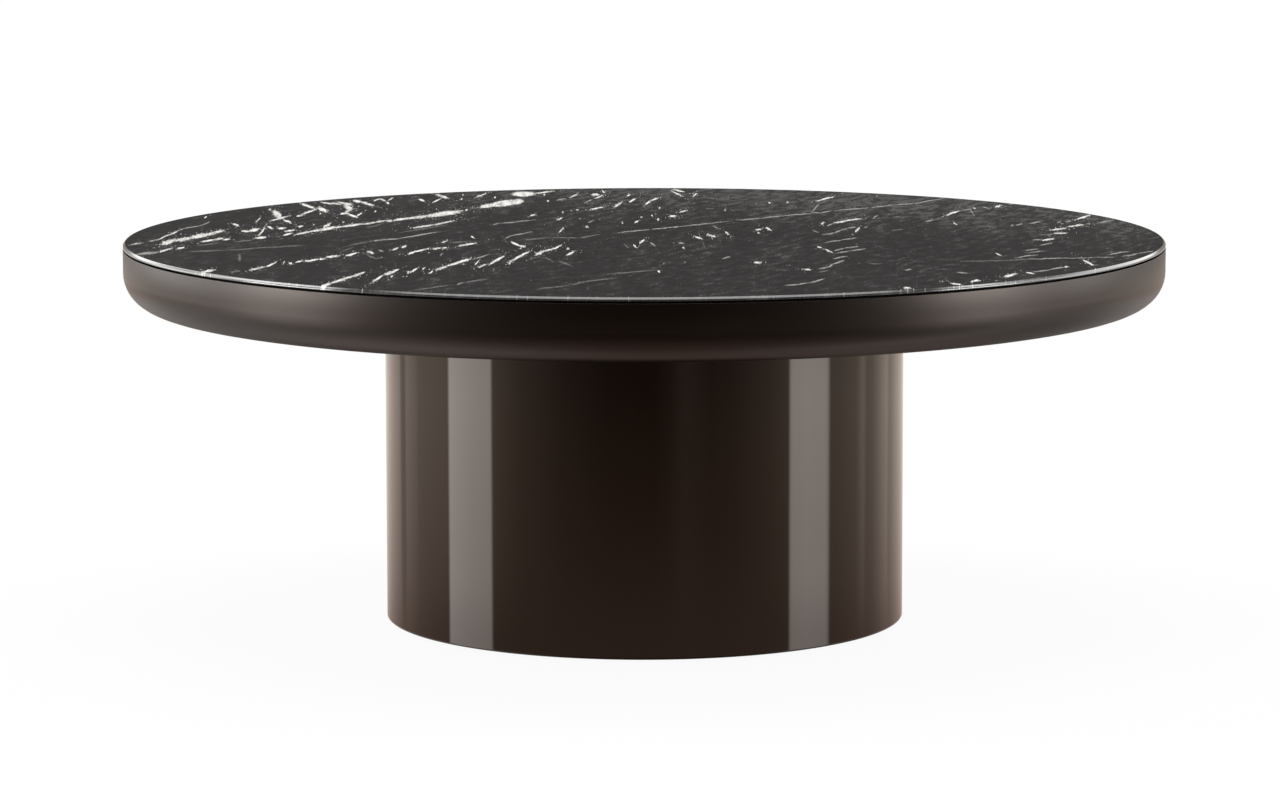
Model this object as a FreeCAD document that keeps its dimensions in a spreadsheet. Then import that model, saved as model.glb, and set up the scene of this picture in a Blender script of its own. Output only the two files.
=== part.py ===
# Round cocktail table: a stone slab laid in a lacquered rim, on a lacquered drum with levelling feet.
# Millimetres, +Z up. The origin is on the floor, on the table's axis.
import FreeCAD, Part
import os
import re
import Sketcher
from FreeCAD import Placement, Rotation, Vector

doc = FreeCAD.newDocument("CocktailTable")

# Driving dimensions, one cell each
SIZES = {
    # Stone slab: a thin lip shows above the rim, the thicker body sits down inside it
    "top_diameter": 1000.0,
    "stone_thickness": 20.0,
    "stone_lip": 3.5,
    "stone_chamfer": 2.2,
    "stone_clearance": 1.5,
    "reveal_gap": 2.0,
    # Black strip in the shadow gap, set back from the outer edge
    "seal_width": 6.0,
    "seal_inset": 6.0,
    # Silicone dots under the stone, in an outer and an inner ring
    "bumper_diameter": 16.0,
    "bumper_thickness": 2.0,
    "bumper_inset": 50.0,
    "bumper_count": 12,
    "inner_bumper_inset": 65.0,
    "inner_bumper_count": 6,
    # Rim ring: a wall beside the stone, a wide foot below the deck
    "rim_wall": 14.0,
    "rim_round": 32.0,
    "rim_edge_round": 1.0,
    "rim_foot": 60.0,
    "rim_rabbet": 10.0,
    # Boards, hub and ribs of the top
    "deck_thickness": 15.0,
    "deck_clearance": 0.5,
    "underside_thickness": 12.0,
    "glue_gap": 0.2,
    "hub_margin": 30.0,
    "rib_height": 11.5,
    "rib_thickness": 18.0,
    "rib_count": 8,
    # Countersunk wood screws, deck to rim
    "screw_diameter": 4.5,
    "screw_head_diameter": 9.0,
    "screw_bite": 15.0,
    "screw_tip": 3.0,
    "screw_count": 12,
    # Socket-head bolts, top to base
    "bolt_diameter": 8.0,
    "bolt_head_diameter": 13.0,
    "bolt_head_height": 8.0,
    "bolt_head_sink": 0.4,
    "bolt_key": 6.0,
    "bolt_key_depth": 4.0,
    "bolt_proud": 2.0,
    "bolt_inset": 32.0,
    "bolt_count": 8,
    "bolt_clearance": 0.5,
    "washer_diameter": 16.0,
    "washer_thickness": 1.6,
    "washer_clearance": 1.0,
    "nut_flats": 13.0,
    "nut_height": 6.5,
    "thread_clearance": 0.05,
    # Drum sleeve
    "drum_diameter": 500.0,
    "drum_height": 306.5,
    "drum_wall": 3.0,
    "drum_edge_round": 2.0,
    # Steel frame inside the drum
    "frame_clearance": 0.3,
    "top_plate_thickness": 8.0,
    "top_plate_margin": 35.0,
    "post_side": 30.0,
    "post_wall": 2.5,
    "post_inset": 87.0,
    "post_count": 4,
    "bottom_plate_thickness": 12.0,
    # Angle clips that hold the sleeve to the bottom plate
    "clip_thickness": 3.0,
    "clip_drop": 13.0,
    "clip_reach": 28.0,
    "clip_angle": 10.0,
    "clip_count": 4,
    "clip_screw_diameter": 6.0,
    "clip_screw_head_diameter": 10.0,
    "clip_screw_head_height": 4.0,
    "clip_screw_bite": 9.0,
    # Levelling feet, screwed fully in
    "foot_gap": 3.0,
    "foot_inset": 47.0,
    "foot_count": 4,
    "foot_start": 45.0,
    "foot_travel": 12.0,
    "foot_nut_flats": 17.0,
    "foot_nut_height": 10.0,
    "stem_diameter": 10.0,
    "stem_chamfer": 1.0,
    "stem_hole_clearance": 0.5,
    "hex_flats": 14.0,
    "hex_height": 6.0,
    "spigot_diameter": 8.0,
    "collar_diameter": 12.0,
    "collar_height": 4.0,
    "pad_diameter": 44.0,
    "pad_neck_diameter": 24.0,
    "pad_height": 11.0,
    "pad_skirt": 4.0,
    "sole_diameter": 40.0,
    "sole_thickness": 2.0,
    "running_clearance": 0.05,
    "stop_clearance": 0.3,
}
sheet = doc.addObject("Spreadsheet::Sheet", "Sizes")
for row, (alias, size) in enumerate(SIZES.items(), start=1):
    sheet.set(f"A{row}", alias)
    sheet.set(f"B{row}", str(size))
    sheet.setAlias(f"B{row}", alias)
doc.recompute()

# Heights above the floor, as formulas of the sizes, from the feet upwards
COLLAR_BOTTOM = "(sole_thickness + stop_clearance)"
COLLAR_TOP = f"({COLLAR_BOTTOM} + collar_height)"
PAD_TOP = "(sole_thickness + pad_height)"
HEX_BOTTOM = f"({PAD_TOP} + stop_clearance)"
HEX_TOP = f"({HEX_BOTTOM} + hex_height)"
BOTTOM_PLATE_BOTTOM = f"({HEX_TOP} + stop_clearance)"
BOTTOM_PLATE_TOP = f"({BOTTOM_PLATE_BOTTOM} + bottom_plate_thickness)"
FOOT_NUT_TOP = f"({BOTTOM_PLATE_TOP} + foot_nut_height)"
STEM_TOP = f"({FOOT_NUT_TOP} + foot_travel)"
DRUM_TOP = "(foot_gap + drum_height)"
TOP_PLATE_BOTTOM = f"({DRUM_TOP} - top_plate_thickness)"
NUT_BOTTOM = f"({TOP_PLATE_BOTTOM} - nut_height)"
RIB_BOTTOM = f"({DRUM_TOP} + underside_thickness)"
DECK_BOTTOM = f"({RIB_BOTTOM} + rib_height)"
DECK_TOP = f"({DECK_BOTTOM} + deck_thickness)"
STONE_BOTTOM = f"({DECK_TOP} + bumper_thickness)"
STONE_TOP = f"({STONE_BOTTOM} + stone_thickness)"
LIP_BOTTOM = f"({STONE_TOP} - stone_lip)"
RIM_TOP = f"({LIP_BOTTOM} - reveal_gap)"
HEAD_TOP = f"({DECK_TOP} - bolt_head_sink)"
HEAD_BOTTOM = f"({HEAD_TOP} - bolt_head_height)"
WASHER_BOTTOM = f"({HEAD_BOTTOM} - washer_thickness)"

# Radii from the table's axis
TOP_RADIUS = "(top_diameter / 2)"
RECESS_RADIUS = f"({TOP_RADIUS} - rim_wall)"
STONE_BODY_RADIUS = f"({RECESS_RADIUS} - stone_clearance)"
RIM_BORE = f"({TOP_RADIUS} - rim_foot)"
RABBET_RADIUS = f"({RIM_BORE} + rim_rabbet)"
SCREW_RADIUS = f"({TOP_RADIUS} - (rim_foot + rim_wall) / 2)"
SLEEVE_BORE = "(drum_diameter / 2 - drum_wall)"
PLATE_RADIUS = f"({SLEEVE_BORE} - frame_clearance)"
BOLT_RADIUS = f"({SLEEVE_BORE} - bolt_inset)"
HUB_RADIUS = f"({BOLT_RADIUS} + hub_margin)"
POST_RADIUS = f"({SLEEVE_BORE} - post_inset)"
CLIP_SCREW_RADIUS = f"({SLEEVE_BORE} - clip_reach / 2)"
FOOT_RADIUS = f"({SLEEVE_BORE} - foot_inset)"

FULL_TURN = "360"
pieces = []


def expression(formula):
    """The same formula with every named size pointed at its cell of the sheet."""
    return re.sub(r"[a-z_]+", lambda word: f"Sizes.{word[0]}" if word[0] in SIZES else word[0], formula)


def number(formula):
    return float(sheet.evalExpression(expression(formula)))


def new_piece(label, turn=0.0):
    """An empty body for one sub-part, turned about the table's axis by degrees."""
    body = doc.addObject("PartDesign::Body", label)
    body.Label = label
    body.Placement = Placement(Vector(), Rotation(Vector(0, 0, 1), turn))
    pieces.append(body)
    return body


def origin_feature(body, role):
    return next(feature for feature in body.Origin.OriginFeatures if feature.Role == role)


def new_sketch(body, plane, offset):
    """A sketch on one of the body's own planes, moved by formulas given per axis of the sketch."""
    sketch = body.newObject("Sketcher::SketchObject", f"{body.Name}_sketch")
    sketch.AttachmentSupport = [(origin_feature(body, plane), "")]
    sketch.MapMode = "FlatFace"
    for axis, formula in offset.items():
        sketch.setExpression(f"AttachmentOffset.Base.{axis}", expression(formula))
    return sketch


def draw_outline(sketch, corners):
    """A closed outline of straight sides; each corner is a pair of formulas in the sketch's plane.

    In a sketch, a line's start and end are its points 1 and 2, and line -1 starts at the origin.
    """
    origin_line, start_point, end_point = -1, 1, 2
    first = sketch.GeometryCount
    points = [Vector(number(across), number(up), 0) for across, up in corners]
    for start, end in zip(points, points[1:] + points[:1]):
        sketch.addGeometry(Part.LineSegment(start, end))
    for side in range(len(corners)):
        following = first + (side + 1) % len(corners)
        meet = Sketcher.Constraint("Coincident", first + side, end_point, following, start_point)
        sketch.addConstraint(meet)
    for side, corner in enumerate(corners, start=first):
        for kind, formula in zip(("DistanceX", "DistanceY"), corner):
            place = number(formula)
            tie = Sketcher.Constraint(kind, origin_line, start_point, side, start_point, place)
            name = f"{kind}_{side}"
            sketch.renameConstraint(sketch.addConstraint(tie), name)
            sketch.setExpression(f"Constraints.{name}", expression(formula))


def turn_outline(body, corners, axis_at="0", axis_angle="0", cut=False, sweep=FULL_TURN):
    """Turns an outline of (radius, height) corners about an upright axis, as a solid or as a cut.

    The axis stands at radius axis_at from the table's axis, at axis_angle degrees from +X.
    """
    offset = {"x": f"{axis_at} * cos({axis_angle})", "z": f"-({axis_at} * sin({axis_angle}))"}
    sketch = new_sketch(body, "XZ_Plane", offset)
    draw_outline(sketch, corners)
    kind = "PartDesign::Groove" if cut else "PartDesign::Revolution"
    feature = body.newObject(kind, f"{body.Name}_turned")
    feature.Profile = sketch
    feature.ReferenceAxis = (sketch, ["V_Axis"])
    feature.Midplane = True
    feature.setExpression("Angle", expression(sweep))
    return feature


def extrude_outlines(body, outlines, base, length, cut=False):
    """Pads outlines of (x, y) corners up from height base, or pockets them down from it."""
    sketch = new_sketch(body, "XY_Plane", {"z": base})
    for corners in outlines:
        draw_outline(sketch, corners)
    kind = "PartDesign::Pocket" if cut else "PartDesign::Pad"
    feature = body.newObject(kind, f"{body.Name}_extruded")
    feature.Profile = sketch
    feature.setExpression("Length", expression(length))
    return feature


def repeat_around(body, features, count):
    """Repeats features of the body evenly about the table's axis."""
    pattern = body.newObject("PartDesign::PolarPattern", f"{body.Name}_around")
    pattern.Originals = features
    pattern.Axis = (origin_feature(body, "Z_Axis"), [""])
    pattern.Angle = 360
    pattern.setExpression("Occurrences", expression(count))
    body.Tip = pattern
    return pattern


def round_edge(body, base, edge_radius, edge_height, radius):
    """Fillets the circular edge of the given radius and height."""
    doc.recompute()
    near = 1e-4
    names = []
    for index, edge in enumerate(base.Shape.Edges, start=1):
        if isinstance(edge.Curve, Part.Circle):
            same_radius = abs(edge.Curve.Radius - number(edge_radius)) < near
            if same_radius and abs(edge.Curve.Center.z - number(edge_height)) < near:
                names.append(f"Edge{index}")
    fillet = body.newObject("PartDesign::Fillet", f"{body.Name}_round")
    fillet.Base = (base, names)
    fillet.setExpression("Radius", expression(radius))
    return fillet


def hexagon(flats, centre):
    """Corners of a hexagon of a given width across flats, its centre on the sketch's X axis."""
    reach = f"({flats} / sqrt(3))"
    angles = range(0, 360, 60)
    return [(f"{centre} + {reach} * cos({angle})", f"{reach} * sin({angle})") for angle in angles]


def square(side, centre):
    """Corners of a square of a given side, its centre on the sketch's X axis."""
    half = f"{side} / 2"
    return [
        (f"{centre} - {half}", f"-({half})"),
        (f"{centre} + {half}", f"-({half})"),
        (f"{centre} + {half}", half),
        (f"{centre} - {half}", half),
    ]


def disc(radius, bottom, top):
    """Outline of a plain disc or cylinder about its axis."""
    return [("0", bottom), (radius, bottom), (radius, top), ("0", top)]


def ring(inner, outer, bottom, top):
    """Outline of a plain ring about its axis."""
    return [(inner, bottom), (outer, bottom), (outer, top), (inner, top)]


def even_turns(count, start=0.0):
    """A number and an angle for each of the like pieces spread evenly about the axis."""
    total = int(number(count))
    return [(index + 1, start + index * 360 / total) for index in range(total)]


# Stone slab, rebated underneath so that its lip covers the rim and its body drops inside
stone = new_piece("stone_top")
turn_outline(stone, [
    ("0", STONE_BOTTOM),
    (STONE_BODY_RADIUS, STONE_BOTTOM),
    (STONE_BODY_RADIUS, LIP_BOTTOM),
    (TOP_RADIUS, LIP_BOTTOM),
    (TOP_RADIUS, f"{STONE_TOP} - stone_chamfer"),
    (f"{TOP_RADIUS} - stone_chamfer", STONE_TOP),
    ("0", STONE_TOP),
])

# Foam strip under the lip, out of sight in the shadow gap
seal = new_piece("lip_seal")
SEAL_OUTER = f"({TOP_RADIUS} - seal_inset)"
turn_outline(seal, ring(f"{SEAL_OUTER} - seal_width", SEAL_OUTER, RIM_TOP, LIP_BOTTOM))

# Silicone dots that carry the stone on the deck
bumpers = new_piece("stone_bumpers")
dot = disc("bumper_diameter / 2", DECK_TOP, STONE_BOTTOM)
outer_dot = turn_outline(bumpers, dot, f"({STONE_BODY_RADIUS} - bumper_inset)")
repeat_around(bumpers, [outer_dot], "bumper_count")
inner_dot = turn_outline(bumpers, dot, f"({BOLT_RADIUS} - inner_bumper_inset)")
repeat_around(bumpers, [inner_dot], "inner_bumper_count")

# Rim ring: the wall stands beside the stone, the foot carries the deck and is rabbeted for the
# underside board, and a large round forms its outer lower edge
rim = new_piece("rim_ring")
rim_section = turn_outline(rim, [
    (RABBET_RADIUS, DRUM_TOP),
    (TOP_RADIUS, DRUM_TOP),
    (TOP_RADIUS, RIM_TOP),
    (RECESS_RADIUS, RIM_TOP),
    (RECESS_RADIUS, DECK_BOTTOM),
    (RIM_BORE, DECK_BOTTOM),
    (RIM_BORE, RIB_BOTTOM),
    (RABBET_RADIUS, RIB_BOTTOM),
])
rim_lower_round = round_edge(rim, rim_section, TOP_RADIUS, DRUM_TOP, "rim_round")
round_edge(rim, rim_lower_round, TOP_RADIUS, RIM_TOP, "rim_edge_round")
SCREW_HOLE = "(screw_diameter / 2 + thread_clearance)"
SCREW_HOLE_BOTTOM = f"{DECK_BOTTOM} - screw_bite - screw_tip"
pilot = turn_outline(rim, disc(SCREW_HOLE, SCREW_HOLE_BOTTOM, DECK_BOTTOM), SCREW_RADIUS, cut=True)
repeat_around(rim, [pilot], "screw_count")

# Deck board: bolts go down through it in counterbores, screws fix it to the rim's foot
deck = new_piece("deck_board")
turn_outline(deck, disc(f"{RECESS_RADIUS} - deck_clearance", DECK_BOTTOM, DECK_TOP))
BOLT_HOLE = "(bolt_diameter / 2 + bolt_clearance)"
COUNTERBORE = "(washer_diameter / 2 + washer_clearance)"
bolt_seat = turn_outline(deck, [
    ("0", DECK_BOTTOM),
    (BOLT_HOLE, DECK_BOTTOM),
    (BOLT_HOLE, WASHER_BOTTOM),
    (COUNTERBORE, WASHER_BOTTOM),
    (COUNTERBORE, DECK_TOP),
    ("0", DECK_TOP),
], BOLT_RADIUS, cut=True)
repeat_around(deck, [bolt_seat], "bolt_count")
SCREW_HEAD_DEPTH = "(screw_head_diameter - screw_diameter) / 2"
screw_seat = turn_outline(deck, [
    ("0", DECK_BOTTOM),
    (SCREW_HOLE, DECK_BOTTOM),
    (SCREW_HOLE, f"{DECK_TOP} - {SCREW_HEAD_DEPTH}"),
    ("screw_head_diameter / 2 + thread_clearance", DECK_TOP),
    ("0", DECK_TOP),
], SCREW_RADIUS, cut=True)
repeat_around(deck, [screw_seat], "screw_count")

# Underside board, let into the rim's rabbet
underside = new_piece("underside_board")
turn_outline(underside, disc(f"{RABBET_RADIUS} - glue_gap", DRUM_TOP, RIB_BOTTOM))
bolt_passage = turn_outline(underside, disc(BOLT_HOLE, DRUM_TOP, RIB_BOTTOM), BOLT_RADIUS, cut=True)
repeat_around(underside, [bolt_passage], "bolt_count")

# Hub spacer: keeps the boards apart where the bolts squeeze them
hub = new_piece("hub_spacer")
turn_outline(hub, ring(f"{BOLT_RADIUS} - hub_margin", HUB_RADIUS, RIB_BOTTOM, DECK_BOTTOM))
bolt_passage = turn_outline(hub, disc(BOLT_HOLE, RIB_BOTTOM, DECK_BOTTOM), BOLT_RADIUS, cut=True)
repeat_around(hub, [bolt_passage], "bolt_count")

# Ribs from the hub to the rim's bore; their square ends stop where their corners meet the bore
RIB_INNER_END = f"{HUB_RADIUS} + glue_gap"
RIB_OUTER_END = f"sqrt(pow({RIM_BORE} - glue_gap; 2) - pow(rib_thickness / 2; 2))"
for index, angle in even_turns("rib_count"):
    rib = new_piece(f"rib_{index}", angle)
    extrude_outlines(rib, [[
        (RIB_INNER_END, "-rib_thickness / 2"),
        (RIB_OUTER_END, "-rib_thickness / 2"),
        (RIB_OUTER_END, "rib_thickness / 2"),
        (RIB_INNER_END, "rib_thickness / 2"),
    ]], RIB_BOTTOM, "rib_height")

# Wood screws, deck to rim
screws = new_piece("deck_screws")
screw = turn_outline(screws, [
    ("0", f"{DECK_BOTTOM} - screw_bite"),
    ("screw_diameter / 2", f"{DECK_BOTTOM} - screw_bite + screw_tip"),
    ("screw_diameter / 2", f"{DECK_TOP} - {SCREW_HEAD_DEPTH}"),
    ("screw_head_diameter / 2", DECK_TOP),
    ("0", DECK_TOP),
], SCREW_RADIUS)
repeat_around(screws, [screw], "screw_count")

# Socket-head bolts from the deck into the base, with their washers and nuts
bolts = new_piece("top_bolts")
shank = turn_outline(bolts, [
    ("0", f"{NUT_BOTTOM} - bolt_proud"),
    ("bolt_diameter / 2", f"{NUT_BOTTOM} - bolt_proud"),
    ("bolt_diameter / 2", HEAD_BOTTOM),
    ("bolt_head_diameter / 2", HEAD_BOTTOM),
    ("bolt_head_diameter / 2", HEAD_TOP),
    ("0", HEAD_TOP),
], BOLT_RADIUS)
key = extrude_outlines(bolts, [hexagon("bolt_key", BOLT_RADIUS)], HEAD_TOP, "bolt_key_depth", cut=True)
repeat_around(bolts, [shank, key], "bolt_count")

washers = new_piece("bolt_washers")
washer_section = ring(BOLT_HOLE, "washer_diameter / 2", WASHER_BOTTOM, HEAD_BOTTOM)
washer = turn_outline(washers, washer_section, BOLT_RADIUS)
repeat_around(washers, [washer], "bolt_count")

nuts = new_piece("bolt_nuts")
nut = extrude_outlines(nuts, [hexagon("nut_flats", BOLT_RADIUS)], NUT_BOTTOM, "nut_height")
NUT_BORE = "bolt_diameter / 2 + thread_clearance"
nut_bore = turn_outline(nuts, disc(NUT_BORE, NUT_BOTTOM, TOP_PLATE_BOTTOM), BOLT_RADIUS, cut=True)
repeat_around(nuts, [nut, nut_bore], "bolt_count")

# Ring plate at the head of the base, wide enough to stand on the posts
top_plate = new_piece("top_plate")
TOP_PLATE_BORE = f"{POST_RADIUS} - post_side / 2 - top_plate_margin"
turn_outline(top_plate, ring(TOP_PLATE_BORE, PLATE_RADIUS, TOP_PLATE_BOTTOM, DRUM_TOP))
bolt_passage = turn_outline(top_plate, disc(BOLT_HOLE, TOP_PLATE_BOTTOM, DRUM_TOP), BOLT_RADIUS, cut=True)
repeat_around(top_plate, [bolt_passage], "bolt_count")

# Square tube posts between the plates
for index, angle in even_turns("post_count"):
    post = new_piece(f"post_{index}", angle)
    walls = [square("post_side", POST_RADIUS), square("(post_side - 2 * post_wall)", POST_RADIUS)]
    extrude_outlines(post, walls, BOTTOM_PLATE_TOP, f"{TOP_PLATE_BOTTOM} - {BOTTOM_PLATE_TOP}")

# Bottom plate, the ballast of the base: blind holes for the clips, through holes for the feet
bottom_plate = new_piece("bottom_plate")
turn_outline(bottom_plate, disc(PLATE_RADIUS, BOTTOM_PLATE_BOTTOM, BOTTOM_PLATE_TOP))
CLIP_SCREW_HOLE = "(clip_screw_diameter / 2 + thread_clearance)"
CLIP_SCREW_TOP = f"({BOTTOM_PLATE_BOTTOM} + clip_screw_bite)"
tapped_hole = disc(CLIP_SCREW_HOLE, BOTTOM_PLATE_BOTTOM, f"{CLIP_SCREW_TOP} + thread_clearance")
clip_hole = turn_outline(bottom_plate, tapped_hole, CLIP_SCREW_RADIUS, cut=True)
repeat_around(bottom_plate, [clip_hole], "clip_count")
stem_passage = disc("stem_diameter / 2 + stem_hole_clearance", BOTTOM_PLATE_BOTTOM, BOTTOM_PLATE_TOP)
foot_hole = turn_outline(bottom_plate, stem_passage, FOOT_RADIUS, "foot_start", cut=True)
repeat_around(bottom_plate, [foot_hole], "foot_count")

# Drum sleeve round the frame, its lower outer edge rounded over
sleeve = new_piece("drum_sleeve")
sleeve_wall = turn_outline(sleeve, ring(SLEEVE_BORE, "drum_diameter / 2", "foot_gap", DRUM_TOP))
round_edge(sleeve, sleeve_wall, "drum_diameter / 2", "foot_gap", "drum_edge_round")

# Angle clips inside the drum's foot, screwed up into the bottom plate
clips = new_piece("sleeve_clips")
CLIP_BOTTOM = f"({BOTTOM_PLATE_BOTTOM} - clip_thickness)"
CLIP_INNER = f"{SLEEVE_BORE} - clip_reach"
CLIP_LEG = f"({PLATE_RADIUS} - clip_thickness)"
clip = turn_outline(clips, [
    (CLIP_INNER, CLIP_BOTTOM),
    (CLIP_LEG, CLIP_BOTTOM),
    (CLIP_LEG, f"{BOTTOM_PLATE_BOTTOM} - clip_drop"),
    (PLATE_RADIUS, f"{BOTTOM_PLATE_BOTTOM} - clip_drop"),
    (PLATE_RADIUS, BOTTOM_PLATE_BOTTOM),
    (CLIP_INNER, BOTTOM_PLATE_BOTTOM),
], sweep="clip_angle")
leg_hole = disc(CLIP_SCREW_HOLE, CLIP_BOTTOM, BOTTOM_PLATE_BOTTOM)
clip_hole = turn_outline(clips, leg_hole, CLIP_SCREW_RADIUS, cut=True)
repeat_around(clips, [clip, clip_hole], "clip_count")

clip_screws = new_piece("clip_screws")
CLIP_HEAD_BOTTOM = f"{CLIP_BOTTOM} - clip_screw_head_height"
clip_screw = turn_outline(clip_screws, [
    ("0", CLIP_HEAD_BOTTOM),
    ("clip_screw_head_diameter / 2", CLIP_HEAD_BOTTOM),
    ("clip_screw_head_diameter / 2", CLIP_BOTTOM),
    ("clip_screw_diameter / 2", CLIP_BOTTOM),
    ("clip_screw_diameter / 2", CLIP_SCREW_TOP),
    ("0", CLIP_SCREW_TOP),
], CLIP_SCREW_RADIUS)
repeat_around(clip_screws, [clip_screw], "clip_count")

# Weld nuts for the feet, on top of the bottom plate
foot_nuts = new_piece("foot_nuts", number("foot_start"))
nut_outline = [hexagon("foot_nut_flats", FOOT_RADIUS)]
foot_nut = extrude_outlines(foot_nuts, nut_outline, BOTTOM_PLATE_TOP, "foot_nut_height")
STEM_BORE = "stem_diameter / 2 + running_clearance"
stem_way = disc(STEM_BORE, BOTTOM_PLATE_TOP, FOOT_NUT_TOP)
foot_nut_bore = turn_outline(foot_nuts, stem_way, FOOT_RADIUS, cut=True)
repeat_around(foot_nuts, [foot_nut, foot_nut_bore], "foot_count")

# Levelling feet: a stem with a spanner hexagon, whose spigot and collar turn in a pad on a felt sole
STEP_HEIGHT = f"{COLLAR_TOP} + stop_clearance"
COLLAR_BORE = "collar_diameter / 2 + stop_clearance"
SPIGOT_BORE = "spigot_diameter / 2 + running_clearance"
for index, angle in even_turns("foot_count", number("foot_start")):
    stem = new_piece(f"foot_stem_{index}", angle)
    turn_outline(stem, [
        ("0", COLLAR_BOTTOM),
        ("collar_diameter / 2", COLLAR_BOTTOM),
        ("collar_diameter / 2", COLLAR_TOP),
        ("spigot_diameter / 2", COLLAR_TOP),
        ("spigot_diameter / 2", HEX_BOTTOM),
        ("stem_diameter / 2", HEX_BOTTOM),
        ("stem_diameter / 2", f"{STEM_TOP} - stem_chamfer"),
        ("stem_diameter / 2 - stem_chamfer", STEM_TOP),
        ("0", STEM_TOP),
    ], FOOT_RADIUS)
    extrude_outlines(stem, [hexagon("hex_flats", FOOT_RADIUS)], HEX_BOTTOM, "hex_height")

    pad = new_piece(f"foot_pad_{index}", angle)
    turn_outline(pad, [
        (COLLAR_BORE, "sole_thickness"),
        ("pad_diameter / 2", "sole_thickness"),
        ("pad_diameter / 2", "sole_thickness + pad_skirt"),
        ("pad_neck_diameter / 2", PAD_TOP),
        (SPIGOT_BORE, PAD_TOP),
        (SPIGOT_BORE, STEP_HEIGHT),
        (COLLAR_BORE, STEP_HEIGHT),
    ], FOOT_RADIUS)

    sole = new_piece(f"foot_sole_{index}", angle)
    turn_outline(sole, disc("sole_diameter / 2", "0", "sole_thickness"), FOOT_RADIUS)

# Every feature and every finished shape is sound before anything is written
doc.recompute()
failed = [item.Label for item in doc.Objects if {"Invalid", "Error"} & set(item.State)]
failed += [piece.Label for piece in pieces if piece.Shape.isNull() or not piece.Shape.isValid()]
if failed:
    raise RuntimeError("not built: " + ", ".join(failed))
os.makedirs("parts", exist_ok=True)
for piece in pieces:
    piece.Shape.exportStep(f"parts/{piece.Label}.step")
    print(f"{piece.Label}: {len(piece.Shape.Solids)} solids, {piece.Shape.Volume:.0f} mm3")
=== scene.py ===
import math

import bpy
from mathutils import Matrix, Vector, noise


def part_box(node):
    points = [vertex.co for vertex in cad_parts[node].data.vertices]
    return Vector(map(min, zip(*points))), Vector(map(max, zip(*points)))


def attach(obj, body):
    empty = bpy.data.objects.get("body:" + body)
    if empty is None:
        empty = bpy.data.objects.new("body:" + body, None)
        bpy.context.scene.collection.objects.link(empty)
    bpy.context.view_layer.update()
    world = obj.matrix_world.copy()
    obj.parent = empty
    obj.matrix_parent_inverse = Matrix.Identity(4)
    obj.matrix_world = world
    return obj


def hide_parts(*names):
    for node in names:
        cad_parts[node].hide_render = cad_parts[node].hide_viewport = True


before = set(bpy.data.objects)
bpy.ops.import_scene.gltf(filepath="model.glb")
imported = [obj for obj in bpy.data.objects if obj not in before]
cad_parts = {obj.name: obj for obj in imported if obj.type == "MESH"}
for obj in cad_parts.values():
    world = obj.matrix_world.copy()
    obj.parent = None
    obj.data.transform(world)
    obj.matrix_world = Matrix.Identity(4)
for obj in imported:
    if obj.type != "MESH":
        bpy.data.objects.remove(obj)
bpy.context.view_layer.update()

# Felt soles: thin discs of pressed wool felt, punched out and glued under the nylon pads.
# Their faces are not quite flat, and the punched edge is soft.
MM = 0.001
SIZE_DIGITS = 1


def node_size(node):
    """Half the width of a CAD node's box, and its lowest and highest level, in mm.

    They are rounded to a tenth, because the node's facets cut a little off its round.
    """
    low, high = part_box(node)
    width = max(high.x - low.x, high.y - low.y)
    return [round(size / MM, SIZE_DIGITS) for size in (width / 2, low.z, high.z)]


SOLE_RADIUS, SOLE_BOTTOM, SOLE_TOP = node_size("foot_sole_1")
SOLE_MIDDLE = 10.0
SOLE_RUFFLE_FROM = 18.0
SOLE_EDGE = 0.7
FELT_FIBRE = 0.9
FELT_FUZZ = 0.4
FELT_LUMP = 6.0
FELT_LUMP_HEIGHT = 0.12
FOOT_RADIUS = 200.0
FOOT_ANGLES = [45.0, 135.0, 225.0, 315.0]
FOOT_SEGMENTS = 64
ARC_STEP = math.radians(7.5)
TINY = 1e-6


def eased_outline(corners, closed=True):
    """Points of an outline in the radius-height plane with every corner rounded by its own ease.

    The corners run with the solid on their left. A point is its radius, its height and the outward
    direction there.
    """
    points = []
    for index, (radius, height, ease) in enumerate(corners):
        here = Vector((radius, height))
        is_end = not closed and index in (0, len(corners) - 1)
        before = here if is_end and index == 0 else Vector(corners[index - 1][:2])
        after = here if is_end and index else Vector(corners[(index + 1) % len(corners)][:2])
        way_in = (here - before) if before != here else (after - here)
        way_out = (after - here) if after != here else way_in
        heading = math.atan2(way_in.y, way_in.x)
        turn = math.atan2(way_in.x * way_out.y - way_in.y * way_out.x, way_in.dot(way_out))
        side = math.copysign(1.0, turn)
        set_back = ease * math.tan(abs(turn) / 2)
        start = here - way_in.normalized() * set_back
        out_angle = heading - math.pi / 2
        centre = start - Vector((math.cos(out_angle), math.sin(out_angle))) * ease * side
        arcs = max(1, math.ceil(abs(turn) / ARC_STEP)) if abs(turn) > TINY else 0
        for share in range(arcs + 1):
            angle = out_angle + (turn * share / arcs if arcs else 0.0)
            out = Vector((math.cos(angle), math.sin(angle)))
            spot = centre + out * ease * side
            points.append((spot.x, spot.y, out.x, out.y))
    return points


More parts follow.
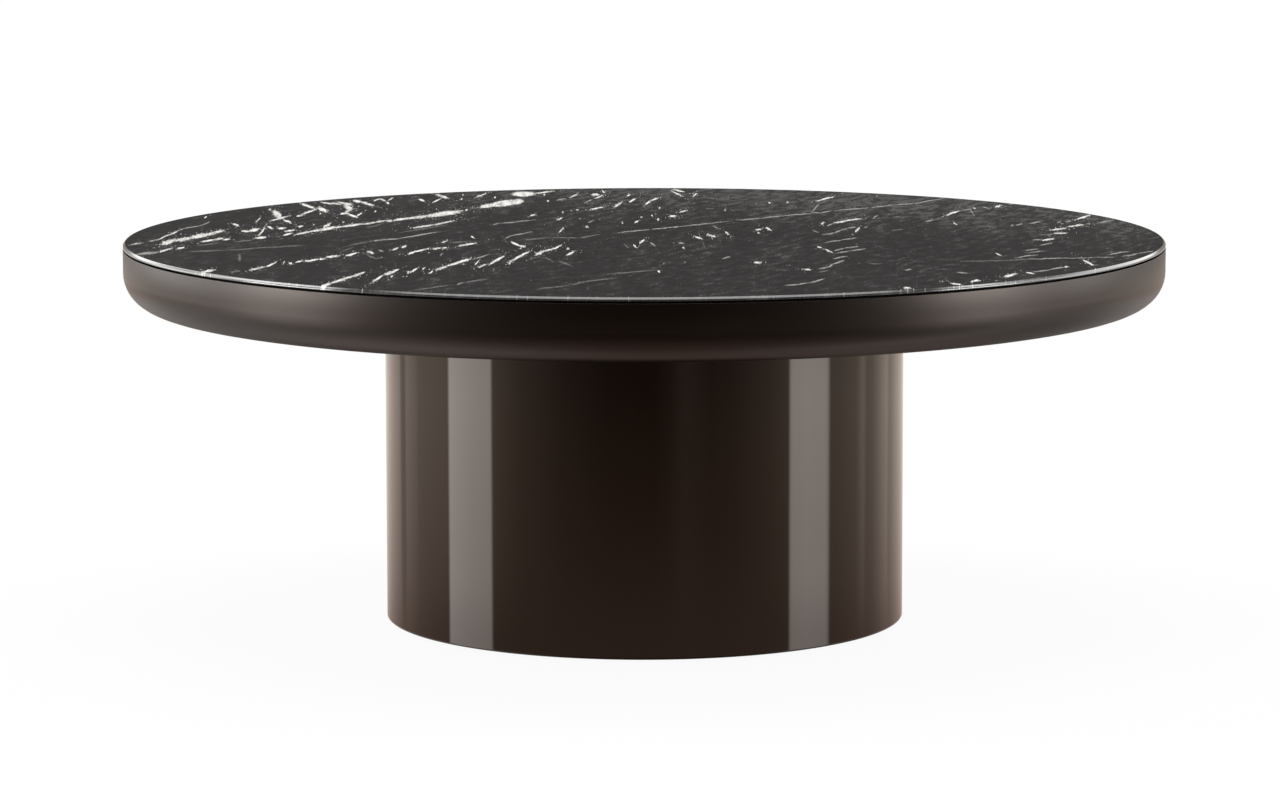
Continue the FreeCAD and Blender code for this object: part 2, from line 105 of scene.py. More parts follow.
def turned_mesh(name, outline, segments, closed=True, centre=(0.0, 0.0)):
    """A mesh of an eased outline turned about an upright axis, with its normals. Sizes in mm."""
    vertices = []
    normals = []
    rings = []
    for radius, height, out_radius, out_height in outline:
        ring = []
        count = segments if radius > TINY else 1
        for index in range(count):
            angle = 2 * math.pi * index / segments
            around = Vector((math.cos(angle), math.sin(angle), 0.0))
            ring.append(len(vertices))
            spot = around * radius + Vector((centre[0], centre[1], height))
            vertices.append(spot * MM)
            axis_out = Vector((0.0, 0.0, out_height))
            normals.append((around * out_radius + axis_out) if count > 1 else axis_out.normalized())
        rings.append(ring)
    faces = []
    pairs = list(zip(rings, rings[1:]))
    if closed:
        pairs.append((rings[-1], rings[0]))
    for low, high in pairs:
        for index in range(segments):
            onward = (index + 1) % segments
            if len(low) == 1 and len(high) == 1:
                continue
            if len(low) == 1:
                faces.append((low[0], high[onward], high[index]))
            elif len(high) == 1:
                faces.append((low[index], low[onward], high[0]))
            else:
                faces.append((low[index], low[onward], high[onward], high[index]))
    mesh = bpy.data.meshes.new(name)
    mesh.from_pydata(vertices, [], faces)
    mesh.shade_smooth()
    mesh.normals_split_custom_set_from_vertices(normals)
    return mesh


def linear(hex_colour):
    """Linear RGBA of an sRGB hex colour."""
    channels = [int(hex_colour[start:start + 2], 16) / 255 for start in (1, 3, 5)]
    curve = [c / 12.92 if c <= 0.04045 else ((c + 0.055) / 1.055) ** 2.4 for c in channels]
    return (*curve, 1.0)


def set_inputs(tree, node, inputs):
    """Links each input that is given a socket or a node, and sets each one that is given a value.

    A node stands for the first of its outputs that is in use, and a hex colour for its linear one.
    """
    for name, value in inputs.items():
        if isinstance(value, str):
            value = linear(value)
        if isinstance(value, bpy.types.Node):
            value = next(output for output in value.outputs if output.enabled)
        if isinstance(value, bpy.types.NodeSocket):
            tree.links.new(value, node.inputs[name])
        else:
            node.inputs[name].default_value = value


def add_node(tree, kind, inputs=None, stops=(), **settings):
    """Adds a shader node with its settings, the stops of its colour ramp, and its links and values.

    A stop is a position and a hex colour, or a position and a linear grey.
    """
    node = tree.nodes.new("ShaderNode" + kind)
    for name, value in settings.items():
        setattr(node, name, value)
    if stops:
        marks = node.color_ramp.elements
        marks.remove(marks[1])
        for index, (position, colour) in enumerate(stops):
            mark = marks.new(position) if index else marks[0]
            mark.position = position
            mark.color = linear(colour) if isinstance(colour, str) else (colour, colour, colour, 1.0)
    set_inputs(tree, node, inputs or {})
    return node


def new_finish(name):
    """A new material: itself, its node tree, its shader and the place on the piece in metres."""
    finish = bpy.data.materials.new(name)
    finish.use_nodes = True
    tree = finish.node_tree
    place = add_node(tree, "TexCoord").outputs["Object"]
    return finish, tree, tree.nodes["Principled BSDF"], place


def grain(size):
    """Texture scale at which one lump of the pattern is that many millimetres."""
    return 1 / (size * MM)


def add_piece(name, mesh, finish, body, slot, *nodes):
    """Puts a mesh in the scene as a piece that rides on a body in place of CAD nodes."""
    piece = bpy.data.objects.new(name, mesh)
    bpy.context.scene.collection.objects.link(piece)
    mesh.materials.append(finish)
    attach(piece, body)
    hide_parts(*nodes)


# Pressed wool felt: matted fibres of several greys, no gloss, a soft light at glancing angles.
# The fibres are drawn in tufts, coarser than real ones, so that they show
felt, tree, shader, place = new_finish("pressed_wool_felt")
fibres = add_node(tree, "TexNoise", {
    "Vector": place, "Scale": grain(FELT_FIBRE), "Detail": 5.0, "Roughness": 0.7, "Distortion": 1.5,
})
greys = add_node(tree, "ValToRGB", {"Fac": fibres}, stops=[
    (0.32, "#262422"), (0.52, "#3b3835"), (0.72, "#5a5650"),
])
fuzz = add_node(tree, "Bump", {"Height": fibres, "Distance": FELT_FUZZ * MM, "Strength": 0.8})
set_inputs(tree, shader, {
    "Base Color": greys,
    "Normal": fuzz,
    "Roughness": 0.95,
    "Specular IOR Level": 0.2,
    "Sheen Weight": 0.35,
})

sole_outline = eased_outline([
    (0.0, SOLE_BOTTOM, 0.0),
    (SOLE_MIDDLE, SOLE_BOTTOM, 0.0),
    (SOLE_RADIUS, SOLE_BOTTOM, SOLE_EDGE),
    (SOLE_RADIUS, SOLE_TOP, SOLE_EDGE),
    (SOLE_MIDDLE, SOLE_TOP, 0.0),
    (0.0, SOLE_TOP, 0.0),
], closed=False)
foot_places = []
for number, angle in enumerate(FOOT_ANGLES, start=1):
    turn = math.radians(angle)
    centre = (FOOT_RADIUS * math.cos(turn), FOOT_RADIUS * math.sin(turn))
    foot_places.append((number, centre))
for number, centre in foot_places:
    mesh = turned_mesh(f"felt_sole_{number}", sole_outline, FOOT_SEGMENTS, closed=False, centre=centre)
    for vertex in mesh.vertices:
        lump = noise.noise(vertex.co / (FELT_LUMP * MM))
        side = Vector((vertex.co.x - centre[0] * MM, vertex.co.y - centre[1] * MM, 0.0))
        if side.length > SOLE_RUFFLE_FROM * MM:
            vertex.co -= side.normalized() * (1 + lump) * FELT_LUMP_HEIGHT * MM
    add_piece(f"felt_sole_{number}", mesh, felt, f"pad_{number}", "felt", f"foot_sole_{number}")

# Foot pads: black nylon swivel pads, injection moulded, with a socket for the stem's collar.
# The skirt and the neck have moulded radii.
PAD_RADIUS, PAD_BOTTOM, PAD_TOP = node_size("foot_pad_1")
PAD_NECK = 12.0
PAD_SKIRT_TOP = 6.0
PAD_BORE = 4.05
PAD_SOCKET = 6.3
PAD_SOCKET_TOP = 6.6
PAD_SKIRT_EDGE = 0.6
PAD_SHOULDER = 1.2
PAD_NECK_EDGE = 1.5
PAD_BORE_EDGE = 0.4
PAD_SOCKET_EDGE = 0.3
PAD_SOCKET_STEP = 0.1
MOULD_GRIT = 0.7
MOULD_RELIEF = 0.08
MOULD_FLOW = 14.0

# Moulded nylon: black, with the spark-eroded texture of the mould and a dull sheen.
# The texture is drawn coarser than the real one, so that it shows
nylon, tree, shader, place = new_finish("moulded_black_nylon")
mould = add_node(tree, "TexNoise", {
    "Vector": place, "Scale": grain(MOULD_GRIT), "Detail": 3.0, "Roughness": 0.6,
})
flow = add_node(tree, "TexNoise", {"Vector": place, "Scale": grain(MOULD_FLOW), "Detail": 2.0})
blacks = add_node(tree, "ValToRGB", {"Fac": flow}, stops=[(0.3, "#161617"), (0.7, "#222223")])
dullness = add_node(tree, "MapRange", {"Value": mould, "To Min": 0.38, "To Max": 0.58})
texture = add_node(tree, "Bump", {"Height": mould, "Distance": MOULD_RELIEF * MM, "Strength": 0.6})
set_inputs(tree, shader, {"Base Color": blacks, "Roughness": dullness, "Normal": texture, "IOR": 1.53})

pad_outline = eased_outline([
    (PAD_SOCKET, PAD_BOTTOM, PAD_SOCKET_EDGE),
    (PAD_RADIUS, PAD_BOTTOM, PAD_SKIRT_EDGE),
    (PAD_RADIUS, PAD_SKIRT_TOP, PAD_SHOULDER),
    (PAD_NECK, PAD_TOP, PAD_NECK_EDGE),
    (PAD_BORE, PAD_TOP, PAD_BORE_EDGE),
    (PAD_BORE, PAD_SOCKET_TOP, PAD_SOCKET_STEP),
    (PAD_SOCKET, PAD_SOCKET_TOP, PAD_SOCKET_EDGE),
])
for number, centre in foot_places:
    mesh = turned_mesh(f"nylon_pad_{number}", pad_outline, FOOT_SEGMENTS, centre=centre)
    add_piece(f"nylon_pad_{number}", mesh, nylon, f"pad_{number}", "nylon", f"foot_pad_{number}")

# Levelling stems: M10 steel, zinc plated, with a rolled thread, a spanner hexagon and, below it,
# the spigot and collar that turn in the pad.
COLLAR_BOTTOM, STEM_TOP = node_size("foot_stem_1")[1:]
COLLAR_RADIUS = 6.0
COLLAR_TOP = 6.3
COLLAR_EDGE_BELOW = 0.4
COLLAR_EDGE_ABOVE = 0.2
SPIGOT_RADIUS = 4.0
HEX_BOTTOM = 13.3
HEX_TOP = 19.3
HEX_FLATS = 14.0
HEX_CHAMFER = 0.9
HEX_CORNER_CUT = 7.75
HEX_EASE = 0.3
THREAD_RADIUS = 5.0
THREAD_ROOT = 4.15
THREAD_PITCH = 1.5
THREAD_RUNOUT = 1.5
THREAD_FLANK = 1.4
THREAD_CREST = 0.2
STEM_TIP = 3.9
STEM_SEGMENTS = 96
THREAD_STEPS = 10
SHARP_FROM = math.radians(32)
ZINC_CLOUD = 5.0
ZINC_PICKLE = 0.5
ZINC_RELIEF = 0.02


def stem_hexagon(angle, corner_cut):
    """Radius of the spanner hexagon at an angle, its corners turned off at a circle."""
    within = (angle % (math.pi / 3)) - math.pi / 6
    return min(HEX_FLATS / 2 / math.cos(within), corner_cut)


def stem_thread(angle, height):
    """Radius of the right-hand thread at an angle and height, shallower at its two ends."""
    turns = height / THREAD_PITCH - angle / (2 * math.pi)
    slope = abs((turns % 1.0) * 2 - 1)
    depth = min(1.0, max(0.0, slope * THREAD_FLANK - THREAD_CREST)) * (THREAD_RADIUS - THREAD_ROOT)
    start = min(1.0, max(0.0, (height - HEX_TOP) / THREAD_RUNOUT))
    radius = THREAD_RADIUS - depth * start
    tip_taper = STEM_TIP + max(0.0, STEM_TOP - height)
    return min(radius, tip_taper)


# Zinc-plated steel: a pale blue-grey metal, its gloss clouded by the passivation bath.
# The grain that pickling leaves is drawn coarser than the real one, so that it shows
zinc, tree, shader, place = new_finish("zinc_plated_steel")
cloud = add_node(tree, "TexNoise", {
    "Vector": place, "Scale": grain(ZINC_CLOUD), "Detail": 4.0, "Roughness": 0.6,
})
metal = add_node(tree, "ValToRGB", {"Fac": cloud}, stops=[
    (0.3, "#a3a8ad"), (0.55, "#bcc0c3"), (0.75, "#cbcbc4"),
])
dullness = add_node(tree, "MapRange", {"Value": cloud, "To Min": 0.22, "To Max": 0.42})
pickle = add_node(tree, "TexNoise", {"Vector": place, "Scale": grain(ZINC_PICKLE), "Detail": 2.0})
skin = add_node(tree, "Bump", {"Height": pickle, "Distance": ZINC_RELIEF * MM, "Strength": 0.5})
set_inputs(tree, shader, {"Base Color": metal, "Metallic": 1.0, "Roughness": dullness, "Normal": skin})


def ringed_mesh(name, rows, segments):
    """A closed mesh from rows up an axis: each row has a height and a radius at every angle."""
    vertices = [Vector((0.0, 0.0, rows[0][0])) * MM]
    for height, radius_at in rows:
        for index in range(segments):
            angle = 2 * math.pi * index / segments
            radius = radius_at(angle)
            vertices.append(Vector((radius * math.cos(angle), radius * math.sin(angle), height)) * MM)
    vertices.append(Vector((0.0, 0.0, rows[-1][0])) * MM)
    last = len(vertices) - 1
    faces = []
    for index in range(segments):
        onward = (index + 1) % segments
        faces.append((0, 1 + onward, 1 + index))
        top = last - segments
        faces.append((last, top + index, top + onward))
        for row in range(len(rows) - 1):
            low = 1 + row * segments
            high = low + segments
            faces.append((low + index, low + onward, high + onward, high + index))
    mesh = bpy.data.meshes.new(name)
    mesh.from_pydata(vertices, [], faces)
    mesh.shade_smooth()
    mesh.set_sharp_from_angle(angle=SHARP_FROM)
    return mesh


stem_rows = [
    (COLLAR_BOTTOM, lambda angle: COLLAR_RADIUS - COLLAR_EDGE_BELOW),
    (COLLAR_BOTTOM + COLLAR_EDGE_BELOW, lambda angle: COLLAR_RADIUS),
    (COLLAR_TOP - COLLAR_EDGE_ABOVE, lambda angle: COLLAR_RADIUS),
    (COLLAR_TOP, lambda angle: COLLAR_RADIUS - COLLAR_EDGE_ABOVE),
    (COLLAR_TOP, lambda angle: SPIGOT_RADIUS),
    (HEX_BOTTOM, lambda angle: SPIGOT_RADIUS),
    (HEX_BOTTOM, lambda angle: HEX_FLATS / 2 - HEX_EASE),
    (HEX_BOTTOM + HEX_CHAMFER / 2, lambda angle: stem_hexagon(angle, HEX_CORNER_CUT - HEX_EASE)),
    (HEX_BOTTOM + HEX_CHAMFER, lambda angle: stem_hexagon(angle, HEX_CORNER_CUT)),
    (HEX_TOP - HEX_CHAMFER, lambda angle: stem_hexagon(angle, HEX_CORNER_CUT)),
    (HEX_TOP - HEX_CHAMFER / 2, lambda angle: stem_hexagon(angle, HEX_CORNER_CUT - HEX_EASE)),
    (HEX_TOP, lambda angle: HEX_FLATS / 2 - HEX_EASE),
]
thread_rows = round((STEM_TOP - HEX_TOP) / THREAD_PITCH * THREAD_STEPS)
for row in range(thread_rows + 1):
    height = HEX_TOP + (STEM_TOP - HEX_TOP) * row / thread_rows
    stem_rows.append((height, lambda angle, height=height: stem_thread(angle, height)))
for number, centre in foot_places:
    mesh = ringed_mesh(f"levelling_stem_{number}", stem_rows, STEM_SEGMENTS)
    for vertex in mesh.vertices:
        vertex.co += Vector((*centre, 0.0)) * MM
    add_piece(
        f"levelling_stem_{number}", mesh, zinc, f"stem_{number}", "zinc_steel", f"foot_stem_{number}"
    )


# Fixings inside the base and the top: weld nuts, clip screws, bolts, washers and nuts.
# They are bought in, all of zinc-plated steel.
def dress(finish, *nodes):
    """Gives CAD nodes a finish."""
    for node in nodes:
        for material_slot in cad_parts[node].material_slots:
            material_slot.material = finish


dress(zinc, "foot_nuts", "clip_screws", "top_bolts", "bolt_washers", "bolt_nuts")

# Steel frame inside the drum: a heavy bottom plate, four square posts, a ring plate above and
# the clips that hold the drum, cut from plate and tube, welded and powder coated.
POSTS = 4
PEEL = 1.6
PEEL_RELIEF = 0.12
POWDER_DRIFT = 60.0

# Powder coat: a black skin with a fine orange-peel, neither matt nor glossy
powder, tree, shader, place = new_finish("black_powder_coat")
peel = add_node(tree, "TexNoise", {"Vector": place, "Scale": grain(PEEL), "Detail": 2.0, "Roughness": 0.5})
drift = add_node(tree, "TexNoise", {"Vector": place, "Scale": grain(POWDER_DRIFT), "Detail": 3.0})
blacks = add_node(tree, "ValToRGB", {"Fac": drift}, stops=[(0.3, "#151516"), (0.7, "#1e1e1f")])
dullness = add_node(tree, "MapRange", {"Value": drift, "To Min": 0.42, "To Max": 0.56})
skin = add_node(tree, "Bump", {"Height": peel, "Distance": PEEL_RELIEF * MM, "Strength": 0.5})
set_inputs(tree, shader, {"Base Color": blacks, "Roughness": dullness, "Normal": skin})
dress(powder, "bottom_plate", "top_plate", "sleeve_clips")
dress(powder, *[f"post_{number}" for number in range(1, POSTS + 1)])

# Drum: sheet steel rolled to a cylinder, its seam ground flush, its lower edge rounded over,
# primed and sprayed with a brown lacquer that is polished to a full gloss.
DRUM_RADIUS, DRUM_BOTTOM, DRUM_TOP = node_size("drum_sleeve")
DRUM_BORE = 247.0
DRUM_EDGE = 2.0
SHEET_EDGE = 0.4
TURN_SEGMENTS = 288
GLOSS_PIGMENT = 90.0
GLOSS_HAZE = 35.0
GLOSS_WAVE = 9.0
GLOSS_WAVE_RELIEF = 0.004

# Polished lacquer: nearly black brown, mirror gloss with a warm tint, and the faintest
# waviness that spraying and polishing leave
gloss, tree, shader, place = new_finish("polished_brown_lacquer")
pigment = add_node(tree, "TexNoise", {
    "Vector": place, "Scale": grain(GLOSS_PIGMENT), "Detail": 3.0, "Roughness": 0.5,
})
browns = add_node(tree, "ValToRGB", {"Fac": pigment}, stops=[(0.3, "#190d04"), (0.7, "#1d1006")])
haze = add_node(tree, "TexNoise", {
    "Vector": place, "Scale": grain(GLOSS_HAZE), "Detail": 4.0, "Roughness": 0.65,
})
polish = add_node(tree, "MapRange", {"Value": haze, "To Min": 0.03, "To Max": 0.06})
waves = add_node(tree, "TexNoise", {"Vector": place, "Scale": grain(GLOSS_WAVE), "Detail": 1.0})
skin = add_node(tree, "Bump", {"Height": waves, "Distance": GLOSS_WAVE_RELIEF * MM, "Strength": 0.5})
set_inputs(tree, shader, {
    "Base Color": browns,
    "Roughness": polish,
    "Normal": skin,
    "IOR": 1.5,
    "Specular Tint": "#fff2ea",
})

drum_outline = eased_outline([
    (DRUM_BORE, DRUM_BOTTOM, SHEET_EDGE),
    (DRUM_RADIUS, DRUM_BOTTOM, DRUM_EDGE),
    (DRUM_RADIUS, DRUM_TOP, SHEET_EDGE),
    (DRUM_BORE, DRUM_TOP, SHEET_EDGE),
])
drum_mesh = turned_mesh("lacquered_drum", drum_outline, TURN_SEGMENTS)
add_piece("lacquered_drum", drum_mesh, gloss, "base", "drum_lacquer", "drum_sleeve")

# Underside board: a disc of fibreboard let into the rabbet under the rim and glued there.
# It is sprayed together with the rim but not rubbed down.
OVERSPRAY = 1.2
OVERSPRAY_RELIEF = 0.06
SPRAY_PASS = 120.0

# Sprayed fibreboard: the same brown, flat and slightly dusty from overspray.
# The dust is drawn coarser than the real one, so that it shows
dusty, tree, shader, place = new_finish("sprayed_fibreboard")
dust = add_node(tree, "TexNoise", {
    "Vector": place, "Scale": grain(OVERSPRAY), "Detail": 4.0, "Roughness": 0.7,
})
passes = add_node(tree, "TexNoise", {"Vector": place, "Scale": grain(SPRAY_PASS), "Detail": 2.0})
browns = add_node(tree, "ValToRGB", {"Fac": passes}, stops=[(0.3, "#1b120b"), (0.7, "#241a12")])
skin = add_node(tree, "Bump", {"Height": dust, "Distance": OVERSPRAY_RELIEF * MM, "Strength": 0.5})
dullness = add_node(tree, "MapRange", {"Value": dust, "To Min": 0.5, "To Max": 0.68})
set_inputs(tree, shader, {"Base Color": browns, "Roughness": dullness, "Normal": skin})
dress(dusty, "underside_board")

# Deck, hub and ribs: birch plywood, cut out on a router. The hub and the eight ribs are glued
# between the two boards, and the deck is screwed down on the rim.
RIBS = 8
VENEER_BAND = 26.0
VENEER_PORE = 0.5
VENEER_STRETCH = 14.0
PORE_SHARE = 0.35
PORE_DEPTH = 0.05

# Birch plywood: pale, with broad soft bands along the grain and fine dark pores.
# The pores are drawn wider than real ones, so that they show
plywood, tree, shader, place = new_finish("birch_plywood")
along = add_node(tree, "Mapping", {"Vector": place, "Scale": (1 / VENEER_STRETCH, 1.0, 1.0)})
bands = add_node(tree, "TexNoise", {
    "Vector": along, "Scale": grain(VENEER_BAND), "Detail": 3.0, "Distortion": 0.8,
})
pores = add_node(tree, "TexNoise", {"Vector": along, "Scale": grain(VENEER_PORE), "Detail": 2.0})
figure = add_node(tree, "Math", {0: pores, 1: PORE_SHARE, 2: bands}, operation="MULTIPLY_ADD")
woods = add_node(tree, "ValToRGB", {"Fac": figure}, stops=[
    (0.42, "#a98a5f"), (0.62, "#c7a878"), (0.85, "#d8bd90"),
])
skin = add_node(tree, "Bump", {"Height": pores, "Distance": PORE_DEPTH * MM, "Strength": 0.5})
set_inputs(tree, shader, {"Base Color": woods, "Normal": skin, "Roughness": 0.6})
dress(plywood, "deck_board", "hub_spacer")
dress(plywood, *[f"rib_{number}" for number in range(1, RIBS + 1)])

# Deck screws: countersunk wood screws with a six-lobed recess, cold formed of steel wire and zinc
# plated. They hold the deck down on the rim.
SCREW_REACH, SCREW_BOTTOM, SCREW_TOP = node_size("deck_screws")
SCREW_COUNT = 12
SCREW_HEAD = 4.5
SCREW_RADIUS = SCREW_REACH - SCREW_HEAD
SCREW_SHANK = 2.25
SCREW_HEAD_DEPTH = 2.25
SCREW_TIP = 3.0
SCREW_POINT = 0.15
SCREW_HEAD_RIM = 0.1
SCREW_HEAD_EDGE = 0.25
SCREW_SEGMENTS = 48
LOBES = 6
LOBE_RADIUS = 1.75
LOBE_DEPTH = 0.3
RECESS_DEPTH = 1.8
RECESS_EDGE = 0.15
RECESS_TAPER = 0.1


def lobe(angle):
    """Radius of the six-lobed recess at an angle."""
    return LOBE_RADIUS + LOBE_DEPTH * math.cos(LOBES * angle)


screw_rows = [
    (SCREW_BOTTOM, lambda angle: SCREW_POINT),
    (SCREW_BOTTOM + SCREW_TIP, lambda angle: SCREW_SHANK),
    (SCREW_TOP - SCREW_HEAD_DEPTH, lambda angle: SCREW_SHANK),
    (SCREW_TOP - SCREW_HEAD_RIM, lambda angle: SCREW_HEAD - SCREW_HEAD_RIM),
    (SCREW_TOP, lambda angle: SCREW_HEAD - SCREW_HEAD_EDGE),
    (SCREW_TOP, lambda angle: lobe(angle) + RECESS_EDGE),
    (SCREW_TOP - RECESS_EDGE, lobe),
    (SCREW_TOP - RECESS_DEPTH, lambda angle: lobe(angle) - RECESS_TAPER),
]


def ring_of(name, mesh, count, radius):
    """One mesh of a piece repeated round the table's axis. Sizes in mm."""
    vertices = []
    faces = []
    for index in range(count):
        turn = 2 * math.pi * index / count
        shift = Vector((radius * math.cos(turn), radius * math.sin(turn), 0.0)) * MM
        first = len(vertices)
        vertices.extend(vertex.co + shift for vertex in mesh.vertices)
        faces.extend([first + corner for corner in face.vertices] for face in mesh.polygons)
    repeated = bpy.data.meshes.new(name)
    repeated.from_pydata(vertices, [], faces)
    repeated.shade_smooth()
    repeated.set_sharp_from_angle(angle=SHARP_FROM)
    return repeated


screw_mesh = ringed_mesh("deck_screw", screw_rows, SCREW_SEGMENTS)
screws_mesh = ring_of("countersunk_screws", screw_mesh, SCREW_COUNT, SCREW_RADIUS)
add_piece("countersunk_screws", screws_mesh, zinc, "base", "zinc_steel", "deck_screws")

# Rim: a ring of fibreboard segments glued up and turned, with a large round below,
# sealed and sprayed with the drum's brown in a satin lacquer.
RIM_RADIUS, RIM_BOTTOM, RIM_TOP = node_size("rim_ring")
RIM_RECESS = 486.0
RIM_BORE = 440.0
RIM_RABBET = 450.0
RIM_ROUND = 32.0
RIM_EDGE = 0.5
RIM_INNER_EDGE = 0.2
RIM_RABBET_EDGE = 0.3
RIM_CROWN = 346.0
RIM_SEAT = 333.0
RIM_LEDGE = 321.5
RIM_LEAN = math.radians(11.0)
SATIN_PIGMENT = 70.0
STIPPLE = 1.5
STIPPLE_RELIEF = 0.02

# Satin lacquer: nearly black brown, a broad soft sheen, and the fine stipple of the spray gun
satin, tree, shader, place = new_finish("satin_brown_lacquer")
pigment = add_node(tree, "TexNoise", {
    "Vector": place, "Scale": grain(SATIN_PIGMENT), "Detail": 3.0, "Roughness": 0.5,
})
browns = add_node(tree, "ValToRGB", {"Fac": pigment}, stops=[(0.3, "#0e0602"), (0.7, "#120803")])
stipple = add_node(tree, "TexNoise", {
    "Vector": place, "Scale": grain(STIPPLE), "Detail": 3.0, "Roughness": 0.6,
})
sheen = add_node(tree, "MapRange", {"Value": stipple, "To Min": 0.3, "To Max": 0.4})
skin = add_node(tree, "Bump", {"Height": stipple, "Distance": STIPPLE_RELIEF * MM, "Strength": 0.5})
set_inputs(tree, shader, {
    "Base Color": browns,
    "Roughness": sheen,
    "Normal": skin,
    "IOR": 1.5,
    "Specular Tint": "#ffeee4",
})

rim_outline = eased_outline([
    (RIM_RABBET, RIM_BOTTOM, RIM_RABBET_EDGE),
    (RIM_RADIUS, RIM_BOTTOM, RIM_ROUND),
    (RIM_RADIUS, RIM_CROWN, 0.0),
    (RIM_RADIUS, RIM_TOP, RIM_EDGE),
    (RIM_RECESS, RIM_TOP, RIM_EDGE),
    (RIM_RECESS, RIM_SEAT, RIM_INNER_EDGE),
    (RIM_BORE, RIM_SEAT, RIM_INNER_EDGE),
    (RIM_BORE, RIM_LEDGE, RIM_INNER_EDGE),
    (RIM_RABBET, RIM_LEDGE, RIM_INNER_EDGE),
])
# Rubbing down leaves the wall a touch crowned towards its top, too little to show but in its sheen
crown_rise = RIM_TOP - RIM_EDGE - RIM_CROWN
for index, (radius, height, out_radius, out_height) in enumerate(rim_outline):
    lean = RIM_LEAN * (height - RIM_CROWN) / crown_rise
    if 0 < lean and math.cos(lean) < out_radius:
        rim_outline[index] = (radius, height, math.cos(lean), math.sin(lean))
rim_mesh = turned_mesh("lacquered_rim", rim_outline, TURN_SEGMENTS)
add_piece("lacquered_rim", rim_mesh, satin, "base", "rim_lacquer", "rim_ring")

# Foam strip: a black strip of closed-cell foam with a sticky back, run round the top of the rim.
# It is set back in the shadow gap under the stone's lip, and keeps crumbs out of it.
SEAL_OUTER, SEAL_BOTTOM, SEAL_TOP = node_size("lip_seal")
SEAL_INNER = 488.0
SEAL_EDGE = 0.5
SEAL_FOOT_EDGE = 0.1
FOAM_CELL = 0.8
FOAM_CELL_DEPTH = 0.2

# Closed-cell foam: black, dull, with fine cells open at its skin.
# The cells are drawn larger than real ones, so that they show
foam, tree, shader, place = new_finish("closed_cell_foam")
cells = add_node(tree, "TexVoronoi", {"Vector": place, "Scale": grain(FOAM_CELL)})
blacks = add_node(tree, "ValToRGB", {"Fac": cells}, stops=[(0.1, "#0b0b0b"), (0.6, "#1a1a1a")])
skin = add_node(tree, "Bump", {"Height": cells, "Distance": FOAM_CELL_DEPTH * MM, "Strength": 0.7})
set_inputs(tree, shader, {
    "Base Color": blacks,
    "Normal": skin,
    "Roughness": 0.9,
    "Specular IOR Level": 0.2,
})

seal_outline = eased_outline([
    (SEAL_INNER, SEAL_BOTTOM, SEAL_FOOT_EDGE),
    (SEAL_OUTER, SEAL_BOTTOM, SEAL_FOOT_EDGE),
    (SEAL_OUTER, SEAL_TOP, SEAL_EDGE),
    (SEAL_INNER, SEAL_TOP, SEAL_EDGE),
])
seal_mesh = turned_mesh("foam_strip", seal_outline, TURN_SEGMENTS)
add_piece("foam_strip", seal_mesh, foam, "base", "foam", "lip_seal")

# Bumpers: dots of milky silicone with a rounded edge, cast in a sheet and stuck to the deck
# in two rings. The stone lies on them.
DOT_REACH, DOT_BOTTOM, DOT_TOP = node_size("stone_bumpers")
DOT_RADIUS = 8.0
DOT_EDGE = 1.1
DOT_FOOT_EDGE = 0.1
DOT_SEGMENTS = 48
DOT_DUST = 1.5
SILICONE_DEPTH = 2.0
OUTER_DOT_RADIUS = DOT_REACH - DOT_RADIUS
OUTER_DOTS = 12
INNER_DOT_RADIUS = 150.0
INNER_DOTS = 6

# Silicone: milky and soft, smooth where it was cast, a little dust on it.
# The dust is drawn coarser than the real one, so that it shows
silicone, tree, shader, place = new_finish("cast_silicone")
dust = add_node(tree, "TexNoise", {
    "Vector": place, "Scale": grain(DOT_DUST), "Detail": 4.0, "Roughness": 0.7,
})
milks = add_node(tree, "ValToRGB", {"Fac": dust}, stops=[(0.35, "#c9c8c2"), (0.7, "#dcdbd6")])
dullness = add_node(tree, "MapRange", {"Value": dust, "To Min": 0.2, "To Max": 0.4})
set_inputs(tree, shader, {
    "Base Color": milks,
    "Roughness": dullness,
    "IOR": 1.41,
    "Subsurface Weight": 0.4,
    "Subsurface Scale": SILICONE_DEPTH * MM,
})

dot_outline = eased_outline([
    (0.0, DOT_BOTTOM, 0.0),
    (DOT_RADIUS, DOT_BOTTOM, DOT_FOOT_EDGE),
    (DOT_RADIUS, DOT_TOP, DOT_EDGE),
    (0.0, DOT_TOP, 0.0),
], closed=False)
dot_mesh = turned_mesh("bumper_dot", dot_outline, DOT_SEGMENTS, closed=False)
outer_dots = ring_of("outer_bumpers", dot_mesh, OUTER_DOTS, OUTER_DOT_RADIUS)
inner_dots = ring_of("inner_bumpers", dot_mesh, INNER_DOTS, INNER_DOT_RADIUS)
add_piece("outer_bumpers", outer_dots, silicone, "base", "silicone", "stone_bumpers")
add_piece("inner_bumpers", inner_dots, silicone, "base", "silicone", "stone_bumpers")

# Stone top: a slab of black marble, rebated below so that only a thin lip shows over the rim,
# honed on its face, its chamfer ground soft and polished. It is laid on the bumpers.
STONE_RADIUS, STONE_BOTTOM, STONE_TOP = node_size("stone_top")
STONE_BODY = 484.5
LIP_BOTTOM = SEAL_TOP
CHAMFER = 2.2
STONE_EASE = 0.35
REBATE_EASE = 0.8
ARRIS_EASE = 2.0
STONE_RINGS = [100.0, 200.0, 300.0, 400.0]
# The stone's beds run away from the viewer: each feature is this many times longer in y than in x
BED_STRETCH = 9.5

